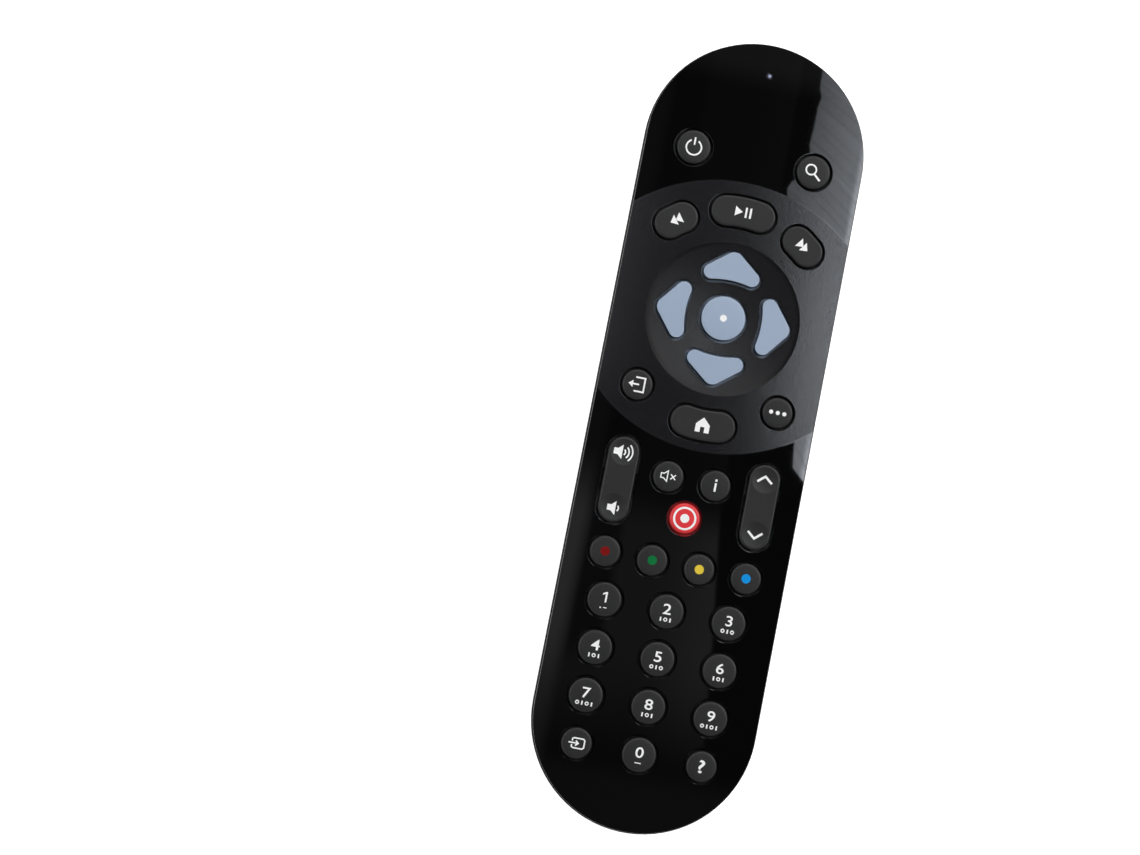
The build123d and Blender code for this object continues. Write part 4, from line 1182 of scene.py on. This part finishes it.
class CardLight(Nodes):
    """Light of a card, as a glow that varies over the part of the plate that mirrors it."""

    def __init__(self, name, tint=(1.0, 1.0, 1.0)):
        super().__init__(name)
        self.surface["Base Color"].default_value = colour(0, 0, 0)
        self.surface["Specular IOR Level"].default_value = 0.0
        self.surface["Emission Color"].default_value = colour(*tint)

    def plate_axes(self):
        """X and Y on the plate, where the camera sees this part of the card mirrored."""
        x, y, _ = self.axes()
        return [
            self.total(self.math("DIVIDE", self.math("SUBTRACT", value, start), MIRROR_SCALE), start)
            for value, start in ((x, CAMERA_X), (y, CAMERA_Y))
        ]


def lit_card(name, outline_in_plate, nodes, strength):
    """A level card over the plate that only reflections see."""
    nodes.join(strength, nodes.surface["Emission Strength"])
    mesh = bpy.data.meshes.new(name)
    corners = [
        (
            (CAMERA_X + (x - CAMERA_X) * MIRROR_SCALE) * MM,
            (CAMERA_Y + (y - CAMERA_Y) * MIRROR_SCALE) * MM,
            (PLATE_TOP + CARD_OVER_PLATE) * MM,
        )
        for x, y in outline_in_plate
    ]
    mesh.from_pydata(corners, [], [tuple(range(len(corners)))])
    mesh.materials.append(nodes.material)
    card = add_object(name, mesh)
    card.visible_camera = False
    card.visible_diffuse = False
    card.visible_shadow = False


# A panel along the right-hand side, brighter beside the matt zone and along the plate's edge
panel_light = CardLight("panel_light", (0.88, 0.93, 1.0))
plate_x, plate_y = panel_light.plate_axes()
across_panel = panel_light.span(plate_x, 10, 24, 2.0, 5.4)
along_panel = panel_light.span(plate_y, 45, 75, 0.25, -0.1)
beside_zone = panel_light.product(
    panel_light.span(plate_y, 2, 10, 0.0, 1.2, smooth=True),
    panel_light.span(plate_y, 34, 42, 1.0, 0.0, smooth=True),
)
along_edge = panel_light.product(
    panel_light.span(plate_x, 20.9, 22.2, 0.0, 5.0, smooth=True),
    panel_light.span(plate_x, 22.4, 23.2, 1.0, 0.0, smooth=True),
)
panel = panel_light.total(across_panel, along_panel, beside_zone, along_edge)
lit_card("light_panel", PANEL_IN_PLATE, panel_light, panel)

# A dim veil with a clean right-hand edge over the lower keys. Its left margin is brighter, and a dark
# band lies beside that
veil_light = CardLight("veil_light")
plate_x, plate_y = veil_light.plate_axes()
veil_edge = veil_light.span(plate_y, -60, -12, 12.4, 6.6)
body = veil_light.product(
    veil_light.span(veil_light.math("SUBTRACT", veil_edge, plate_x), -0.3, 0.7, 0.0, 1.0, smooth=True),
    veil_light.span(plate_y, -72, -41, 0.0, 1.0, smooth=True),
    veil_light.span(plate_y, -22, -13, 1.0, 0.15, smooth=True),
    veil_light.span(plate_x, -4, 10, 0.12, 0.24, smooth=True),
)
band = veil_light.product(
    veil_light.span(plate_x, -19, -17.5, 0.0, 1.0, smooth=True),
    veil_light.span(plate_x, -13, -10.5, 1.0, 0.0, smooth=True),
    veil_light.span(plate_y, -52, -44, 0.0, 0.75, smooth=True),
)
margin = veil_light.product(
    veil_light.span(plate_x, -21, -17.5, 0.3, 0.0, smooth=True),
    veil_light.span(plate_y, -62, -40, 0.4, 1.0, smooth=True),
    veil_light.span(plate_y, -20, -6, 1.0, 0.1, smooth=True),
)
veil = veil_light.total(
    veil_light.product(body, veil_light.math("SUBTRACT", 1.0, band)),
    margin,
    veil_light.span(plate_y, -66, -72, 0.03, 0.08, smooth=True),
    veil_light.span(plate_y, 70, 77, 0.0, 0.1, smooth=True),
)
lit_card("light_veil", VEIL_IN_PLATE, veil_light, veil)

# Plain cards past the top end and both sides
lit_card("light_top", TOP_CARD_IN_PLATE, CardLight("top_light"), 0.75)
lit_card("light_far_right", RIGHT_CARD_IN_PLATE, CardLight("far_right_light"), 0.4)
lit_card("light_far_left", LEFT_CARD_IN_PLATE, CardLight("far_left_light", (0.95, 0.93, 1.0)), 1.3)


def softbox(name, place, width, height, watts):
    """A large soft area light aimed at the middle of the object."""
    data = bpy.data.lights.new(name, "AREA")
    data.shape = "RECTANGLE"
    data.size = width * MM
    data.size_y = height * MM
    data.energy = watts
    light = add_object(name, data)
    light.location = [part * MM for part in place]
    light.rotation_euler = (-Vector(light.location)).to_track_quat("-Z", "Y").to_euler()


softbox("light_left", (-700, 100, 620), width=500, height=700, watts=3.1)
softbox("light_right", (660, 420, 600), width=500, height=700, watts=5.5)
softbox("light_top", (0, 800, 650), width=700, height=400, watts=3.0)

bpy.context.scene.view_settings.view_transform = "Standard"
